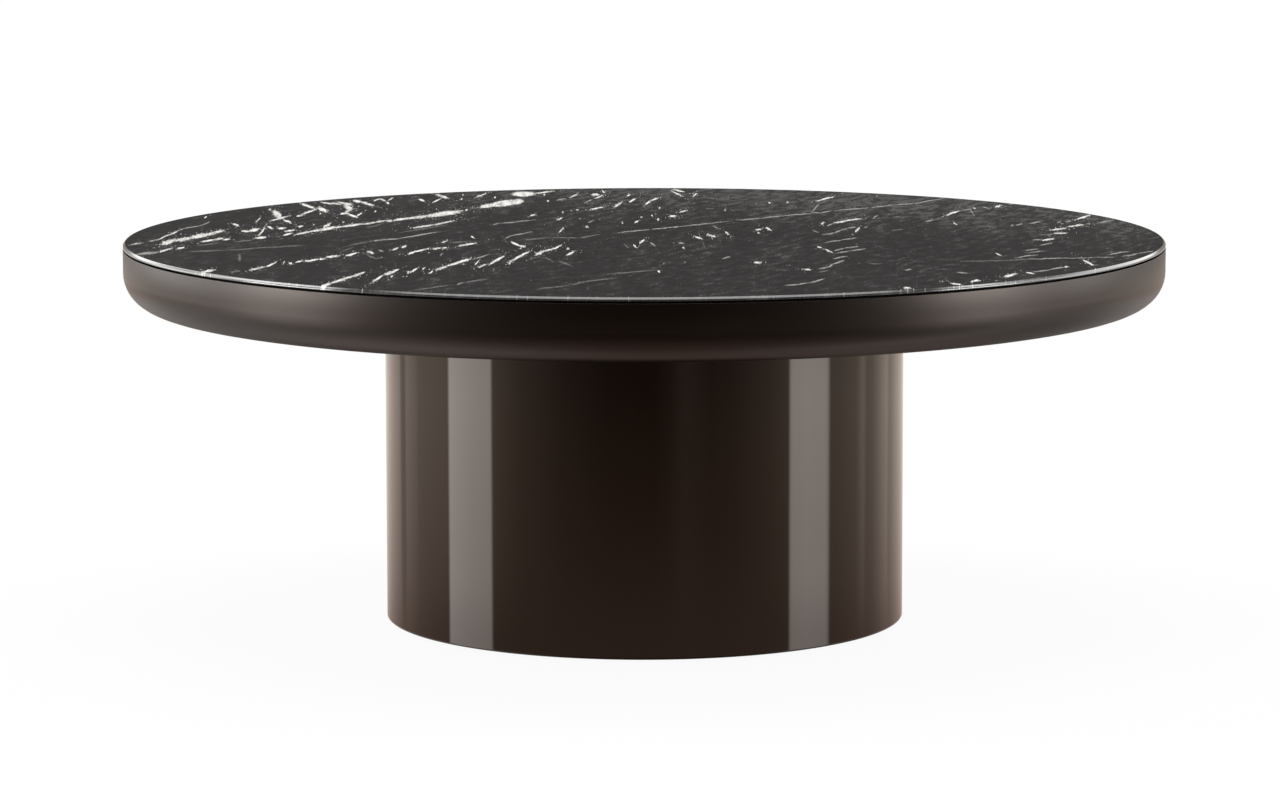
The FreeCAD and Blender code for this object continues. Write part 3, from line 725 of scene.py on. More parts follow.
# Veins and flecks, each with its width and then the points it runs through or its one spot, in mm
# from the middle, x to the right and y away from the viewer. First those of solid white calcite
WHITE_VEINS = [
    (2.0, (-466, -15), (-461, 31)), (6.0, (-459, -49), (-450, -24)), (4.2, (-450, -27), (-436, -5)),
    (5.6, (-437, 3), (-422, 31)), (4.4, (-424, 28), (-412, 62)), (2.6, (-455, -127), (-447, -96)),
    (2.4, (-460, 30), (-455, 62)), (2.4, (-484, -52)), (3.0, (-402, -297), (-392, -279)),
    (2.6, (-441, -96), (-436, -87)), (2.4, (-423, -32), (-413, -19), (-405, -5)),
    (1.9, (-404, -15), (-398, -15)), (3.0, (-374, -5), (-365, 3)), (2.6, (-373, 21), (-372, 85)),
    (2.2, (-406, 132), (-399, 113)), (2.2, (-393, 62), (-384, 58)), (4.2, (-385, 62), (-378, 81)),
    (1.9, (-385, 146), (-384, 189)), (2.6, (-439, 198)), (2.6, (-380, 276)),
    (5.2, (-375, 257), (-363, 189)), (2.6, (-370, 165), (-358, 203)), (2.1, (-359, 169), (-350, 141)),
    (2.1, (-370, 108), (-364, 85)), (2.4, (-359, 90), (-353, 85)), (2.4, (-349, 62), (-342, 67)),
    (2.3, (-349, 21), (-342, 39)), (2.1, (-340, 104), (-336, 104)), (2.6, (-338, 26), (-326, 58)),
    (2.1, (-349, 208), (-343, 213)), (2.3, (-344, 227), (-339, 252)), (2.4, (-359, -282), (-347, -254)),
    (3.0, (-345, -250), (-340, -222)), (2.2, (-332, -225), (-332, -209)),
    (2.0, (-327, -222), (-324, -229)), (1.9, (-321, -217), (-316, -205)),
    (2.3, (-313, -201), (-309, -209)), (2.6, (-352, 333), (-335, 283)), (2.6, (-344, 229), (-333, 277)),
    (4.2, (-332, 288), (-321, 254)), (2.1, (-326, 229)), (2.1, (-326, 124)),
    (2.6, (-334, 37), (-320, 69)), (4.2, (-322, 66), (-303, 97)), (4.2, (-315, 105), (-311, 129)),
    (2.2, (-304, 95), (-296, 101)), (3.0, (-297, 100), (-279, 130)),
    (2.5, (-276, 128), (-266, 147), (-257, 162)), (3.6, (-255, 157), (-250, 160)),
    (3.3, (-250, 161), (-233, 185)), (4.2, (-234, 184), (-217, 205)), (6.8, (-217, 206), (-187, 249)),
    (2.3, (-332, 348), (-312, 327)), (3.0, (-315, 348), (-299, 322)), (5.5, (-306, 313), (-297, 273)),
    (4.4, (-298, 275), (-302, 240)), (2.6, (-306, 229), (-298, 233)), (2.6, (-298, 224), (-287, 195)),
    (2.3, (-288, 209), (-285, 233)), (3.6, (-300, 364), (-292, 353)), (3.0, (-292, 353), (-277, 313)),
    (2.3, (-279, 364), (-274, 384), (-267, 358)), (2.1, (-265, 348), (-262, 333)),
    (2.1, (-264, 373), (-261, 391)), (2.6, (-272, 254)), (2.1, (-298, 143)),
    (2.3, (-233, 380), (-227, 358)), (2.3, (-217, 348), (-211, 384)), (3.6, (-217, 431), (-204, 391)),
    (2.4, (-227, 87), (-207, 120), (-190, 156)), (2.3, (-312, -208), (-302, -191)),
    (2.3, (-301, -191), (-296, -188)), (2.7, (-296, -175), (-285, -162)),
    (2.7, (-278, -162), (-270, -142)), (2.7, (-260, -125), (-254, -142)),
    (2.3, (-237, -112), (-233, -95)), (2.9, (-229, -91), (-226, -78)),
    (2.5, (-220, -142), (-215, -129)), (2.2, (-216, -129), (-204, -104)),
    (2.5, (-199, -104), (-193, -95)), (2.1, (-193, -46), (-189, -34)), (2.1, (-191, -95), (-187, -95)),
    (2.4, (-176, -76), (-160, -50)), (2.1, (-167, 12), (-164, -6)), (3.2, (-286, -412), (-278, -388)),
    (3.0, (-280, -390), (-262, -331), (-254, -305)), (2.8, (-243, -382), (-236, -331)),
    (4.2, (-234, -315), (-228, -299)), (2.6, (-227, -334)), (2.7, (-229, -300), (-224, -276)),
    (2.3, (-214, -299)), (2.7, (-212, -299), (-207, -272)), (2.9, (-201, -272)),
    (2.1, (-194, -311), (-192, -292)), (3.1, (-189, -281), (-181, -254)),
    (3.2, (-180, -246), (-162, -194)), (2.1, (-155, -238), (-153, -210)),
    (2.1, (-151, -262), (-145, -239)), (3.5, (-142, -236), (-131, -169)),
    (2.6, (-124, -230), (-123, -205)), (3.6, (-123, -207), (-109, -131)),
    (2.7, (-127, -46), (-119, -71), (-113, -84)), (2.1, (-117, -97)), (4.1, (-101, -152), (-94, -123)),
    (2.4, (-94, -123), (-85, -102), (-78, -71)), (3.2, (-72, -102)), (2.7, (-72, -157), (-66, -131)),
    (2.3, (-114, 438), (-96, 465)), (3.0, (-99, 360)), (2.5, (-104, 427)), (2.8, (-155, 397)),
    (2.5, (-189, 381)), (2.2, (-189, 423)), (2.6, (-174, 401), (-166, 438)), (2.8, (-180, 270)),
    (2.5, (-76, 397), (-70, 434)), (2.6, (-82, 241)), (2.4, (-67, 265)), (2.3, (-87, 163), (-82, 183)),
    (2.3, (-82, 48), (-79, 89)), (3.0, (-56, 98)), (2.4, (-114, 207), (-109, 221)),
    (4.0, (-54, 427), (-47, 423)), (3.0, (-44, 470), (-41, 448)), (2.4, (-50, 386), (-43, 417)),
    (2.5, (-54, 270), (-42, 295)), (3.5, (-30, 295), (-23, 340)), (2.6, (-17, 412), (-15, 427)),
    (2.6, (-15, 346), (-9, 381)), (2.9, (2, 320), (7, 360), (14, 386)), (2.6, (32, 480), (42, 454)),
    (2.6, (29, 465), (39, 412)), (2.2, (52, 407), (55, 438)), (2.4, (16, 285)),
    (2.4, (-9, 140), (-6, 154)), (2.3, (-3, 188)), (2.4, (8, 207)), (2.4, (-21, 131)), (3.7, (14, 169)),
    (3.6, (26, 195), (32, 200)), (2.2, (36, 241), (43, 256)), (2.2, (82, 260)),
    (2.6, (-10, -71), (-8, -84)), (2.9, (-4, -54), (0, -28)), (2.4, (37, -93)),
    (2.3, (49, 7), (55, -15)), (3.2, (61, 20), (68, 3)), (2.6, (79, 48), (82, 25)), (3.2, (13, -297)),
    (2.6, (129, 335)), (2.4, (148, 340)), (2.7, (179, 355), (196, 397)), (2.9, (175, 122), (178, 136)),
    (3.3, (188, 131), (200, 152)), (2.6, (196, 147), (215, 173)), (2.6, (206, 48), (211, 85)),
    (2.5, (164, -93), (167, -97)), (2.7, (171, -114), (176, -140)), (2.6, (145, -282), (151, -282)),
    (2.5, (109, 66), (114, 71)), (2.4, (111, 39)), (3.0, (120, 85), (123, 66)),
    (3.0, (102, -226), (107, -226)), (2.9, (304, 209), (317, 244)), (3.0, (336, 274)),
    (3.0, (358, 288), (364, 298)), (2.9, (306, 129), (308, 114)), (2.9, (329, -153), (332, -167)),
    (2.6, (290, -388), (293, -377), (298, -373)), (2.5, (272, -396), (280, -408)),
    (2.6, (229, -432), (234, -430)), (3.5, (323, -345), (334, -323)), (2.5, (345, -311), (350, -319)),
    (4.6, (405, -207), (410, -244)), (2.7, (383, -266), (386, -262)), (2.7, (430, 163), (448, 205)),
    (3.4, (436, 176), (441, 188)), (2.9, (396, 60), (413, 78)), (2.9, (416, 92), (433, 110)),
    (2.5, (397, 28), (409, 32)), (2.5, (382, -34), (393, -21)),
]
# Wide patches of the same white, with firmer edges
WHITE_PATCHES = [
    (7.0, (-166, 300), (-152, 322)), (10.5, (-154, 326), (-131, 346)), (9.0, (-136, 345), (-126, 353)),
    (8.5, (-136, 434), (-116, 431)),
]
# Thin veins that the black of the ground shows through
PALE_VEINS = [
    (3.0, (-475, -148), (-456, -128)), (2.0, (-490, -62), (-478, -45)), (2.2, (-474, -31), (-466, -15)),
    (1.8, (-461, 31), (-451, 90), (-437, 118), (-431, 150)), (1.6, (-373, 85), (-373, 141)),
    (2.0, (-262, -34), (-235, -8), (-202, 50)), (2.0, (-149, 117), (-144, 131)),
    (1.9, (-142, 131), (-111, 163)), (2.1, (-133, -6), (-128, 16), (-110, 48)),
    (1.9, (-159, -194), (-146, -157)), (2.0, (-155, -278)), (1.9, (-250, -112), (-245, -125)),
    (1.9, (-190, -162), (-189, -144)), (2.0, (-166, -401), (-161, -386)), (2.0, (-90, 366), (-82, 381)),
    (2.2, (-74, 260)), (2.2, (-64, 178)), (1.9, (-61, 335), (-54, 371)), (1.9, (-55, 140), (-50, 159)),
    (1.9, (-44, 170)), (2.2, (6, -50), (10, -76)), (2.2, (33, -54), (38, -58)), (2.0, (28, -54)),
    (1.9, (12, 221)), (1.8, (68, 104), (73, 76)), (2.4, (18, -234)), (2.4, (37, -222)),
    (2.0, (73, -194), (79, -173)), (1.7, (-25, 43), (6, 71), (31, 94), (83, 149)),
    (2.2, (27, 90), (34, 97)), (1.9, (92, 159), (118, 178), (140, 203), (168, 226)),
    (2.0, (168, 241), (177, 231), (188, 251)), (2.0, (170, 246), (180, 326)),
    (1.7, (194, 256), (230, 281), (255, 313), (278, 327), (311, 380)), (2.0, (115, 329)),
    (2.0, (180, 104), (186, 122)), (2.0, (164, 61), (169, 39)),
    (2.3, (173, 20), (185, 39), (191, 57), (199, 80), (207, 89)), (2.0, (216, 85), (219, 92)),
    (2.0, (173, -50), (189, -28), (204, -10)), (1.9, (178, -127), (189, -102), (203, -88)),
    (1.8, (179, -148), (192, -127), (208, -109)), (2.2, (176, -194), (188, -173)),
    (2.2, (159, -278), (168, -262), (173, -239), (184, -210)),
    (1.8, (124, -413), (147, -390), (160, -360)), (2.4, (243, 410)), (2.2, (229, 181), (234, 205)),
    (2.0, (279, 143), (287, 157)), (2.1, (322, 254), (332, 268)), (1.9, (331, 264), (331, 205)),
    (2.2, (346, 288), (351, 268)), (2.2, (237, -289), (242, -284)), (2.2, (283, -307), (292, -315)),
    (2.0, (351, -307), (366, -292), (384, -264)), (1.8, (354, -199), (419, -187), (436, -183)),
    (2.2, (445, -180), (462, -152), (476, -132)), (2.0, (432, -165), (455, -130)),
    (2.4, (360, 101), (364, 110)), (2.4, (366, 110), (373, 120)), (2.4, (380, 120), (394, 143)),
    (2.2, (409, 134), (413, 139)), (2.4, (417, 139), (424, 148)), (2.4, (450, 130), (465, 153)),
    (2.0, (436, 115), (440, 119)), (2.2, (376, -78), (388, -60)), (2.0, (357, -124), (370, -112)),
    (1.8, (358, -144), (376, -129)), (1.9, (345, -187), (365, -162)), (2.0, (373, -28), (380, -29)),
    (2.0, (374, 318), (381, 323)),
]
# Hairlines and specks that stay grey
GREY_VEINS = [
    (1.6, (-425, -70), (-406, -49)), (1.8, (-392, -36), (-376, -23)),
    (1.6, (-428, -126), (-394, -113), (-356, -87), (-324, -70)), (2.6, (-379, -143), (-374, -201)),
    (1.8, (-376, -297), (-367, -289)), (1.9, (-272, 97), (-261, 114)), (1.6, (-236, 47), (-195, 119)),
    (1.6, (-283, -78), (-262, -34)), (1.6, (-287, -129), (-275, -91)),
    (1.7, (-259, -153), (-249, -188), (-244, -183)), (1.8, (-253, 395)), (1.8, (-245, 420)),
    (1.8, (-186, -50), (-166, -33)), (1.8, (-178, 285), (-166, 286)), (1.9, (-106, -196), (-102, -179)),
    (2.0, (-92, -178), (-84, -210)), (2.5, (-79, -210), (-67, -250)),
    (1.8, (-115, -23), (-90, -2), (-62, -6), (-44, 25)), (1.6, (56, -33), (57, -93)),
    (2.0, (-19, -67), (-15, -97)), (1.6, (62, 275), (70, 275)), (1.6, (-36, -321), (11, -286)),
    (1.6, (-58, -380), (-31, -356)), (2.0, (-50, -428)), (2.0, (88, 401)), (2.0, (89, 265)),
    (2.0, (140, -278)), (1.8, (158, -305), (167, -289)), (2.0, (197, -230)),
    (1.8, (249, 185), (256, 195)), (1.7, (242, 56), (254, 74)),
    (1.7, (291, -216), (337, -212), (352, -199)), (1.9, (207, -236), (217, -236)),
    (1.7, (379, 14), (393, 18)), (2.0, (399, 268)), (1.7, (-204, -450), (-173, -403)),
    (1.6, (-161, -384), (-140, -356)), (1.7, (-95, -436), (-66, -409), (-49, -367)),
]
# Where veins come out at the front edge: the distance to the right and the width there
EDGE_VEINS = [
    (-400, 2.2), (-316, 1.6), (-308, 1.6), (-285, 2.4), (-111, 1.8), (-102, 1.6), (-14, 1.4), (112, 1.4),
    (174, 1.8), (225, 2.2), (231, 2.2), (247, 1.6), (263, 1.6), (273, 2.0), (289, 1.6), (360, 1.6),
    (409, 1.8), (423, 1.6), (436, 1.6),
]
# How much of a vein's width is solid, at the two sides of the stone, and how its runs join
VEIN_CORE_LEFT = 0.86
VEIN_CORE_RIGHT = 0.5
VEIN_OVERLAP = 1.15
VEIN_BATCH = 16
VEIN_TRACE = 1e-7
# The veins' bends, their frayed edges, and the share of white in the three kinds
BEND = 9.0
BEND_REACH = 1.8
FRAY = 2.1
PATCH_FRAY = 0.9
FRAY_GRAIN = 1.4
VEIN_EDGE = 1.08
VEIN_HEART = 0.66
WHITE_SHARE = 1.0
PALE_SHARE = 0.36
GREY_SHARE = 0.15
# Along a vein the white fades to a share of itself where this pattern is low
FADE = 6.0
FADE_FROM = 0.36
FADE_TO = 0.56
FADED_SHARE = 0.5
# Crumbs of calcite: their grain, how far from a vein they crowd, and where one begins
CRUMB = 1.5
CRUMB_REACH = 5.0
CRUMB_CROWDING = 0.13
CRUMB_LEVEL = 0.73
CRUMB_EDGE = 0.06
CRUMB_SHARE = 0.8
# The ground: streaks along the beds, a fine mottle, wide clouds, and a painted sheen that makes it paler
# towards the back right
RUN_RISE = 8.0
RUN_STRETCH = 6.0
STREAK = 2.2
MOTTLE = 1.5
MOTTLE_SHARE = 0.5
CLOUD = 40.0
CLOUD_FROM = 0.3
CLOUD_TO = 0.7
CLOUD_THIN = 0.91
CLOUD_THICK = 1.09
FAR_RIGHT = (0.5, 0.86, 0.0)
PALER_FROM = 100.0
PALER_TO = 400.0
PALER_BY = 0.16
# The ground's greys on the cut edge, paler than on the face: partly the cut's own grey, partly a painted
# highlight along the edge
EDGE_GREYS = ["#383838", "#404040", "#4e4e4d", "#666664"]

# Honed black marble: a charcoal ground streaked along its beds, white calcite veins that swell,
# pinch and fray, and a dull, even sheen
marble, tree, shader, place = new_finish("honed_black_marble")
beds = add_node(tree, "VectorMath", {0: place, 1: (1.0, 1 / BED_STRETCH, 0.0)}, operation="MULTIPLY")
bend = add_node(tree, "TexNoise", {"Vector": beds, "Scale": grain(BEND), "Detail": 3.0, "Roughness": 0.6})
bend_shift = add_node(tree, "VectorMath", {
    0: bend.outputs["Color"], 1: (0.5, 0.5, 0.5),
}, operation="SUBTRACT")
bent = add_node(tree, "VectorMath", {
    0: bend_shift, 1: (BEND_REACH * MM,) * 3, 2: beds,
}, operation="MULTIPLY_ADD")


def vein_field(lines, spot):
    """Node whose value is below 1 inside the veins: the least distance to a long lens on each run.

    After each batch of runs the place is handed on through the result so far, which leaves it as it
    was: the renderer then works through the batches in turn and holds few values at once. The place
    is returned too, for the next kind of vein.
    """
    nearest = None
    runs = []
    for width, *points in lines:
        across = points[0][0] / (2 * STONE_RADIUS) + 0.5
        core = VEIN_CORE_LEFT + (VEIN_CORE_RIGHT - VEIN_CORE_LEFT) * across
        runs += [(width * core, run) for run in zip(points, points[1:] or points)]
    for count, (width, ((x0, y0), (x1, y1))) in enumerate(runs, start=1):
        rise = (y1 - y0) / BED_STRETCH
        half = math.hypot(x1 - x0, rise) / 2 * VEIN_OVERLAP + width / 4
        lens = add_node(tree, "Mapping", {
            "Vector": spot,
            "Location": ((x0 + x1) / 2 * MM, (y0 + y1) / 2 / BED_STRETCH * MM, 0.0),
            "Rotation": (0.0, 0.0, math.atan2(rise, x1 - x0)),
            "Scale": (max(half, width / 2) * MM, width / 2 * MM, 1.0),
        }, vector_type="TEXTURE")
        reach = add_node(tree, "VectorMath", {0: lens}, operation="LENGTH")
        if nearest is None:
            nearest = reach
        else:
            nearest = add_node(tree, "Math", {0: nearest, 1: reach}, operation="MINIMUM")
        if count % VEIN_BATCH == 0:
            spot = add_node(tree, "VectorMath", {
                0: nearest, 1: (0.0, 0.0, VEIN_TRACE), 2: spot,
            }, operation="MULTIPLY_ADD")
    return nearest, spot


edge_spots = []
for x, width in EDGE_VEINS:
    edge_spots.append((width, (x, -math.sqrt(STONE_RADIUS ** 2 - x ** 2))))
fray = add_node(tree, "TexNoise", {
    "Vector": beds, "Scale": grain(FRAY_GRAIN), "Detail": 4.0, "Roughness": 0.7,
})
fade = add_node(tree, "TexNoise", {"Vector": beds, "Scale": grain(FADE), "Detail": 3.0, "Roughness": 0.7})
purity = add_node(tree, "MapRange", {
    "Value": fade,
    "From Min": FADE_FROM, "From Max": FADE_TO, "To Min": FADED_SHARE, "To Max": 1.0,
})
calcite = None
spot = bent
for lines, whiteness, raggedness in [
    (WHITE_VEINS, WHITE_SHARE, FRAY),
    (WHITE_PATCHES, WHITE_SHARE, PATCH_FRAY),
    (PALE_VEINS + edge_spots, PALE_SHARE, FRAY),
    (GREY_VEINS, GREY_SHARE, FRAY),
]:
    nearest, spot = vein_field(lines, spot)
    frayed = add_node(tree, "Math", {0: fray, 1: raggedness, 2: nearest}, operation="MULTIPLY_ADD")
    mask = add_node(tree, "MapRange", {
        "Value": frayed,
        "From Min": VEIN_EDGE + raggedness / 2, "From Max": VEIN_HEART + raggedness / 2,
        "To Max": whiteness,
    }, interpolation_type="SMOOTHSTEP")
    if calcite is None:
        calcite = mask
        white_reach = nearest
    else:
        calcite = add_node(tree, "Math", {0: calcite, 1: mask}, operation="MAXIMUM")
# Crumbs of calcite, thickest beside the white veins
crumbs = add_node(tree, "TexNoise", {"Vector": beds, "Scale": grain(CRUMB), "Detail": 2.0})
crowding = add_node(tree, "MapRange", {
    "Value": white_reach, "From Min": CRUMB_REACH, "From Max": 1.0, "To Max": CRUMB_CROWDING,
})
crowded = add_node(tree, "Math", {0: crumbs, 1: crowding}, operation="ADD")
crumb_mask = add_node(tree, "MapRange", {
    "Value": crowded,
    "From Min": CRUMB_LEVEL, "From Max": CRUMB_LEVEL + CRUMB_EDGE, "To Max": CRUMB_SHARE,
}, interpolation_type="SMOOTHSTEP")
whiter = add_node(tree, "Math", {0: calcite, 1: crumb_mask}, operation="MAXIMUM")
pure = add_node(tree, "Math", {0: whiter, 1: purity}, operation="MULTIPLY")
# The ground: streaks along the beds over a fine mottle, thicker in some places than in others, with a
# painted sheen that pales it towards the back right
run = add_node(tree, "Mapping", {
    "Vector": bent,
    "Rotation": (0.0, 0.0, math.radians(RUN_RISE)),
    "Scale": (RUN_STRETCH, 1.0, 1.0),
}, vector_type="TEXTURE")
streaks = add_node(tree, "TexNoise", {
    "Vector": run, "Scale": grain(STREAK), "Detail": 4.0, "Roughness": 0.65,
})
mottle = add_node(tree, "TexNoise", {
    "Vector": beds, "Scale": grain(MOTTLE), "Detail": 3.0, "Roughness": 0.6,
})
tone = add_node(tree, "Math", {0: mottle, 1: MOTTLE_SHARE, 2: streaks}, operation="MULTIPLY_ADD")
clouds = add_node(tree, "TexNoise", {"Vector": beds, "Scale": grain(CLOUD), "Detail": 2.0})
thickness = add_node(tree, "MapRange", {
    "Value": clouds,
    "From Min": CLOUD_FROM, "From Max": CLOUD_TO, "To Min": CLOUD_THIN, "To Max": CLOUD_THICK,
})
# Painted sheen: the ground is painted paler towards the back right, where the backdrop's reflection would
# lighten it
far_right = add_node(tree, "VectorMath", {0: place, 1: FAR_RIGHT}, operation="DOT_PRODUCT")
paler = add_node(tree, "MapRange", {
    "Value": far_right,
    "From Min": PALER_FROM * MM, "From Max": PALER_TO * MM, "To Max": PALER_BY,
})
clouded = add_node(tree, "Math", {0: tone, 1: thickness, 2: paler}, operation="MULTIPLY_ADD")
ground = add_node(tree, "ValToRGB", {"Fac": clouded}, stops=[
    (0.55, "#111112"), (0.75, "#1d1d1e"), (0.87, "#2b2b2b"), (0.98, "#4e4e4e"),
])
# Sockets 6 and 7 of a Mix node are its two colours, and 0 is the share of the second
stone_colour = add_node(tree, "Mix", {0: pure, 6: ground, 7: "#e8e7e3"}, data_type="RGBA")
dullness = add_node(tree, "MapRange", {"Value": mottle, "To Min": 0.54, "To Max": 0.66})
set_inputs(tree, shader, {
    "Base Color": stone_colour,
    "Roughness": dullness,
    "IOR": 1.5,
    "Specular IOR Level": 0.07,
})

# Ground marble edge: the same stone, glossier where the wheel has cut it, and paler there, partly from the
# cut's own grey and partly as a painted highlight
ground_edge = marble.copy()
ground_edge.name = "ground_marble_edge"
edge_tree = ground_edge.node_tree
for mark, hex_colour in zip(edge_tree.nodes[ground.name].color_ramp.elements, EDGE_GREYS):
    mark.color = linear(hex_colour)
set_inputs(edge_tree, edge_tree.nodes[dullness.name], {"To Min": 0.06, "To Max": 0.2})
set_inputs(edge_tree, edge_tree.nodes[shader.name], {
    "IOR": 1.66,
    "Specular IOR Level": 0.5,
    "Coat Weight": 1.0,
    "Coat Roughness": 0.1,
})

stone_corners = [(0.0, STONE_BOTTOM, 0.0)]
stone_corners += [(radius, STONE_BOTTOM, 0.0) for radius in STONE_RINGS]
stone_corners += [
    (STONE_BODY, STONE_BOTTOM, REBATE_EASE),
    (STONE_BODY, LIP_BOTTOM, REBATE_EASE),
    (STONE_RADIUS, LIP_BOTTOM, STONE_EASE),
    (STONE_RADIUS, STONE_TOP - CHAMFER, ARRIS_EASE),
    (STONE_RADIUS - CHAMFER, STONE_TOP, ARRIS_EASE),
]
stone_corners += [(radius, STONE_TOP, 0.0) for radius in reversed(STONE_RINGS)]
stone_corners.append((0.0, STONE_TOP, 0.0))
stone_outline = eased_outline(stone_corners, closed=False)
stone_mesh = turned_mesh("marble_top", stone_outline, TURN_SEGMENTS, closed=False)
add_piece("marble_top", stone_mesh, marble, "stone", "marble", "stone_top")
stone_mesh.materials.append(ground_edge)
for face in stone_mesh.polygons:
    reach = math.hypot(face.center.x, face.center.y)
    is_edge = reach > (STONE_RADIUS - CHAMFER) * MM and face.center.z > LIP_BOTTOM * MM
    face.material_index = 1 if is_edge else 0

# Floor: a wide sheet of white studio paper. It shows itself white to the camera and keeps a soft
# shadow; the gloss of the table mirrors the studio round it instead. From below it isn't there, so
# that the underside can be looked at.
FLOOR_SIDE = 60.0
FLOOR_FADE = 0.94

paper = bpy.data.materials.new("white_studio_paper")
paper.use_nodes = True
tree = paper.node_tree
tree.nodes.clear()
rays = add_node(tree, "LightPath")
show = add_node(tree, "Math", {0: rays.outputs["Is Camera Ray"], 1: FLOOR_FADE}, operation="MULTIPLY")
tint = add_node(tree, "Mix", {
    0: rays.outputs["Is Camera Ray"], 6: "#b4b4b4", 7: "#f4f4f4",
}, data_type="RGBA")
sheet = add_node(tree, "BsdfDiffuse", {"Color": tint})
glow = add_node(tree, "Emission", {"Color": "#ffffff", "Strength": 1.0})
blend = add_node(tree, "MixShader", {0: show, 1: sheet, 2: glow})
side = add_node(tree, "NewGeometry")
clear = add_node(tree, "BsdfTransparent", {"Color": "#ffffff"})
one_sided = add_node(tree, "MixShader", {0: side.outputs["Backfacing"], 1: blend, 2: clear})
add_node(tree, "OutputMaterial", {"Surface": one_sided})
floor_mesh = bpy.data.meshes.new("floor")
half_side = FLOOR_SIDE / 2
floor_mesh.from_pydata(
    [(-half_side, -half_side, 0), (half_side, -half_side, 0), (half_side, half_side, 0),
     (-half_side, half_side, 0)], [], [(0, 1, 2, 3)])
floor_mesh.materials.append(paper)
floor = bpy.data.objects.new("floor", floor_mesh)
bpy.context.scene.collection.objects.link(floor)
floor.visible_glossy = False

# Studio light, as the lacquer and the stone's edge mirror it: dark in front, pale walls, a tall strip
# softbox at each side, lamps and panels further back, a pale floor and a softbox overhead.
# Angles are in degrees, 0 to the front and + to the right. First the brightness round the room
WALLS = [
    (-180, 0.80), (-139.5, 0.78), (-137.5, 0.42), (-133.5, 0.42), (-131.5, 0.80), (-121.5, 0.78),
    (-119.5, 0.66), (-113, 0.72), (-100, 0.88), (-70, 0.66), (-56, 0.34), (-36, 0.13), (-16, 0.03),
    (4, 0.01), (11, 0.06), (17, 0.17), (23, 0.14), (29, 0.09), (40, 0.14), (56, 0.32), (68, 0.55),
    (96, 0.57), (108, 0.62), (112, 0.97), (114, 0.93), (115.6, 0.6), (121, 0.58), (131, 0.93),
    (136.5, 0.98), (139, 0.64), (142, 0.64), (148, 0.73),
]
STRIPS = [
    (-97, 0.0), (-95.8, 0.94), (-71.6, 0.90), (-70.4, 0.0), (66.4, 0.0), (67.6, 0.93), (76, 0.93),
    (88.2, 0.76), (89.4, 0.0),
]
# Each light also has a peak, and its shares of that by the angle above the horizon. The walls and
# the strips darken at their foot
WALL_PEAK = 1.6
WALL_TINT = "#fff0e3"
LAMP_TINT = "#ffffff"
WALL_RISE = [
    (-60, 0.02), (-30, 0.03), (-16, 0.3), (-11.2, 0.28), (-10.6, 0.0), (-10.3, 0.06), (-10, 0.23),
    (-9.7, 0.4), (-9.3, 0.5), (-7.6, 0.83), (-5, 0.6), (-1, 0.25), (8, 0.18), (45, 0.15), (60, 0.05),
]
STRIP_PEAK = 7.6
STRIP_RISE = [
    (-35, 0.0), (-20, 0.25), (-11.2, 0.41), (-10.6, 0.31), (-10.3, 0.39), (-10, 0.45), (-9.3, 0.46),
    (-7.6, 0.53), (-5.5, 0.36), (0, 0.36), (4, 0.6), (9, 1.38), (16, 1.75), (22, 0.0),
]
# High lamps at both sides, for the broad sheen on the rim
LAMPS = [
    (-150, 0.0), (-140, 0.2), (-128, 1.0), (-107, 1.0), (-104, 0.0), (99, 0.0), (103, 1.0), (118, 1.0),
    (121, 0.2), (140, 0.05), (150, 0.0),
]
LAMP_PEAK = 4.6
LAMP_RISE = [(-5, 0.0), (-1, 0.36), (13, 0.4), (25, 0.48), (37, 0.75), (43, 1.0), (51, 1.0), (55, 0.0)]
# Low panels at both sides, for the rim's wall and its lower round
SIDES = [
    (-165, 0.0), (-150, 0.25), (-130, 0.45), (-115, 0.6), (-97, 0.6), (-60, 0.3), (-40, 0.08), (-20, 0.0),
    (20, 0.0), (60, 0.1), (85, 0.3), (96, 0.75), (106, 0.75), (114, 0.2), (150, 0.15), (165, 0.0),
]
SIDE_PEAK = 4.0
SIDE_RISE = [
    (-90, 0.1), (-60, 0.33), (-30, 0.33), (-17, 0.25), (-13, 0.0), (-6, 0.0), (-2, 0.3), (5, 0.5),
    (15, 0.5), (24, 0.0),
]
# Panels behind, for the far ends of the stone's edge and of the rim's lower round
ENDS = [
    (-172, 0.0), (-166, 1.0), (-150, 1.0), (-140, 0.3), (-125, 0.0), (118, 0.0), (126, 1.0), (166, 1.0),
    (172, 0.0),
]
END_PEAK = 1.7
END_RISE = [(-34, 0.0), (-28, 0.15), (-14, 0.2), (-12.5, 0.0), (9, 0.0), (14, 1.0), (30, 1.0), (38, 0.0)]
# The pale floor as the gloss mirrors it, and the softbox overhead
GROUND_PEAK = 0.5
GROUND_TINT = "#ffddce"
GROUND_RISE = [
    (-90, 0.75), (-68, 0.8), (-55, 0.65), (-44, 0.4), (-32, 0.15), (-15, 0.1), (-12.5, 0.95),
    (-10.5, 0.9), (-9.3, 0.45), (-7.6, 0.11), (-6, 0.0),
]
OVERHEAD_PEAK = 2.6
OVERHEAD_RISE = [(58, 0.0), (62, 0.75), (72, 0.9), (80, 1.0)]


def ramp_stops(marks, lowest, highest):
    """Colour ramp stops from angles and brightnesses."""
    span = highest - lowest
    return [((angle - lowest) / span, share) for angle, share in marks]


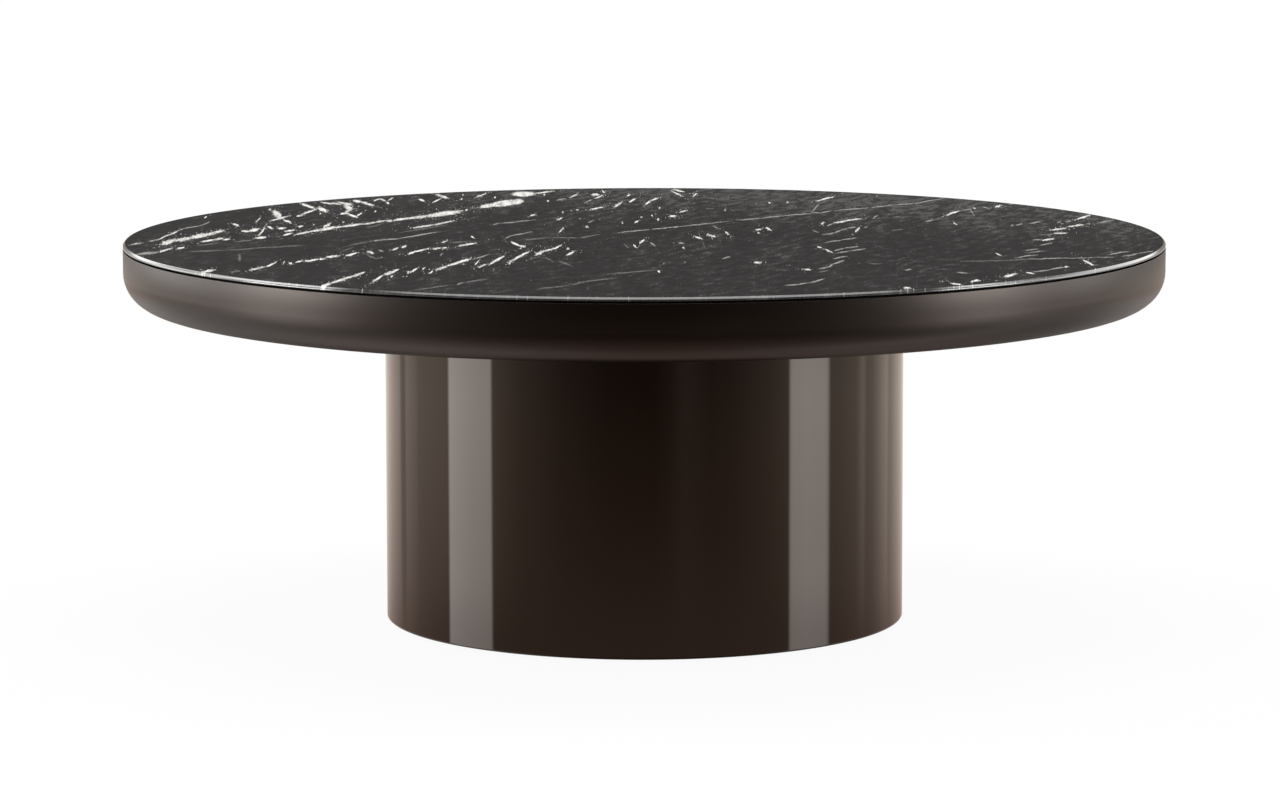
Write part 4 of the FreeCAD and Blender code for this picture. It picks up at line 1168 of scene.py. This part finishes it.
world = bpy.data.worlds.new("studio")
bpy.context.scene.world = world
world.use_nodes = True
tree = world.node_tree
tree.nodes.clear()
heading = add_node(tree, "TexCoord").outputs["Generated"]
parts = add_node(tree, "SeparateXYZ", {"Vector": heading})
frontward = add_node(tree, "Math", {0: parts.outputs["Y"], 1: -1.0}, operation="MULTIPLY")
around = add_node(tree, "Math", {0: parts.outputs["X"], 1: frontward}, operation="ARCTAN2")
around_share = add_node(tree, "MapRange", {"Value": around, "From Min": -math.pi, "From Max": math.pi})
above = add_node(tree, "Math", {0: parts.outputs["Z"]}, operation="ARCSINE")
above_share = add_node(tree, "MapRange", {
    "Value": above, "From Min": -math.pi / 2, "From Max": math.pi / 2,
})
studio = None
for marks, rise, peak, tint in [
    (WALLS, WALL_RISE, WALL_PEAK, WALL_TINT),
    (STRIPS, STRIP_RISE, STRIP_PEAK, LAMP_TINT),
    (LAMPS, LAMP_RISE, LAMP_PEAK, LAMP_TINT),
    (SIDES, SIDE_RISE, SIDE_PEAK, LAMP_TINT),
    (ENDS, END_RISE, END_PEAK, LAMP_TINT),
    (None, GROUND_RISE, GROUND_PEAK, GROUND_TINT),
    (None, OVERHEAD_RISE, OVERHEAD_PEAK, LAMP_TINT),
]:
    upward = add_node(tree, "ValToRGB", {"Fac": above_share}, stops=ramp_stops(rise, -90, 90))
    share = add_node(tree, "Math", {0: upward, 1: peak}, operation="MULTIPLY")
    if marks:
        sideways = add_node(tree, "ValToRGB", {"Fac": around_share}, stops=ramp_stops(marks, -180, 180))
        share = add_node(tree, "Math", {0: share, 1: sideways}, operation="MULTIPLY")
    light = add_node(tree, "Background", {"Color": tint, "Strength": share})
    if studio is None:
        studio = light
    else:
        studio = add_node(tree, "AddShader", {0: studio, 1: light})
rays = add_node(tree, "LightPath")
white = add_node(tree, "Background", {"Color": "#ffffff", "Strength": 1.0})
blend = add_node(tree, "MixShader", {0: rays.outputs["Is Camera Ray"], 1: studio, 2: white})
add_node(tree, "OutputWorld", {"Surface": blend})
bpy.context.scene.view_settings.view_transform = "Standard"

# Camera: a long lens about five metres in front, looking down a little on the table's middle.
# Its place in metres, its angles in degrees and its lens in mm were fitted to the table's outlines
CAMERA_PLACE = (-0.0032, -4.9113, 0.8862)
CAMERA_TILT = 82.179
CAMERA_ROLL = 0.09
CAMERA_LENS = 144.11
SENSOR_WIDTH = 36.0
CLIP_END = 100.0

camera_data = bpy.data.cameras.new("photo_camera")
camera_data.sensor_width = SENSOR_WIDTH
camera_data.lens = CAMERA_LENS
camera_data.clip_end = CLIP_END
camera = bpy.data.objects.new("photo_camera", camera_data)
bpy.context.scene.collection.objects.link(camera)
camera.location = CAMERA_PLACE
camera.rotation_euler = (math.radians(CAMERA_TILT), math.radians(CAMERA_ROLL), 0.0)
bpy.context.scene.camera = camera
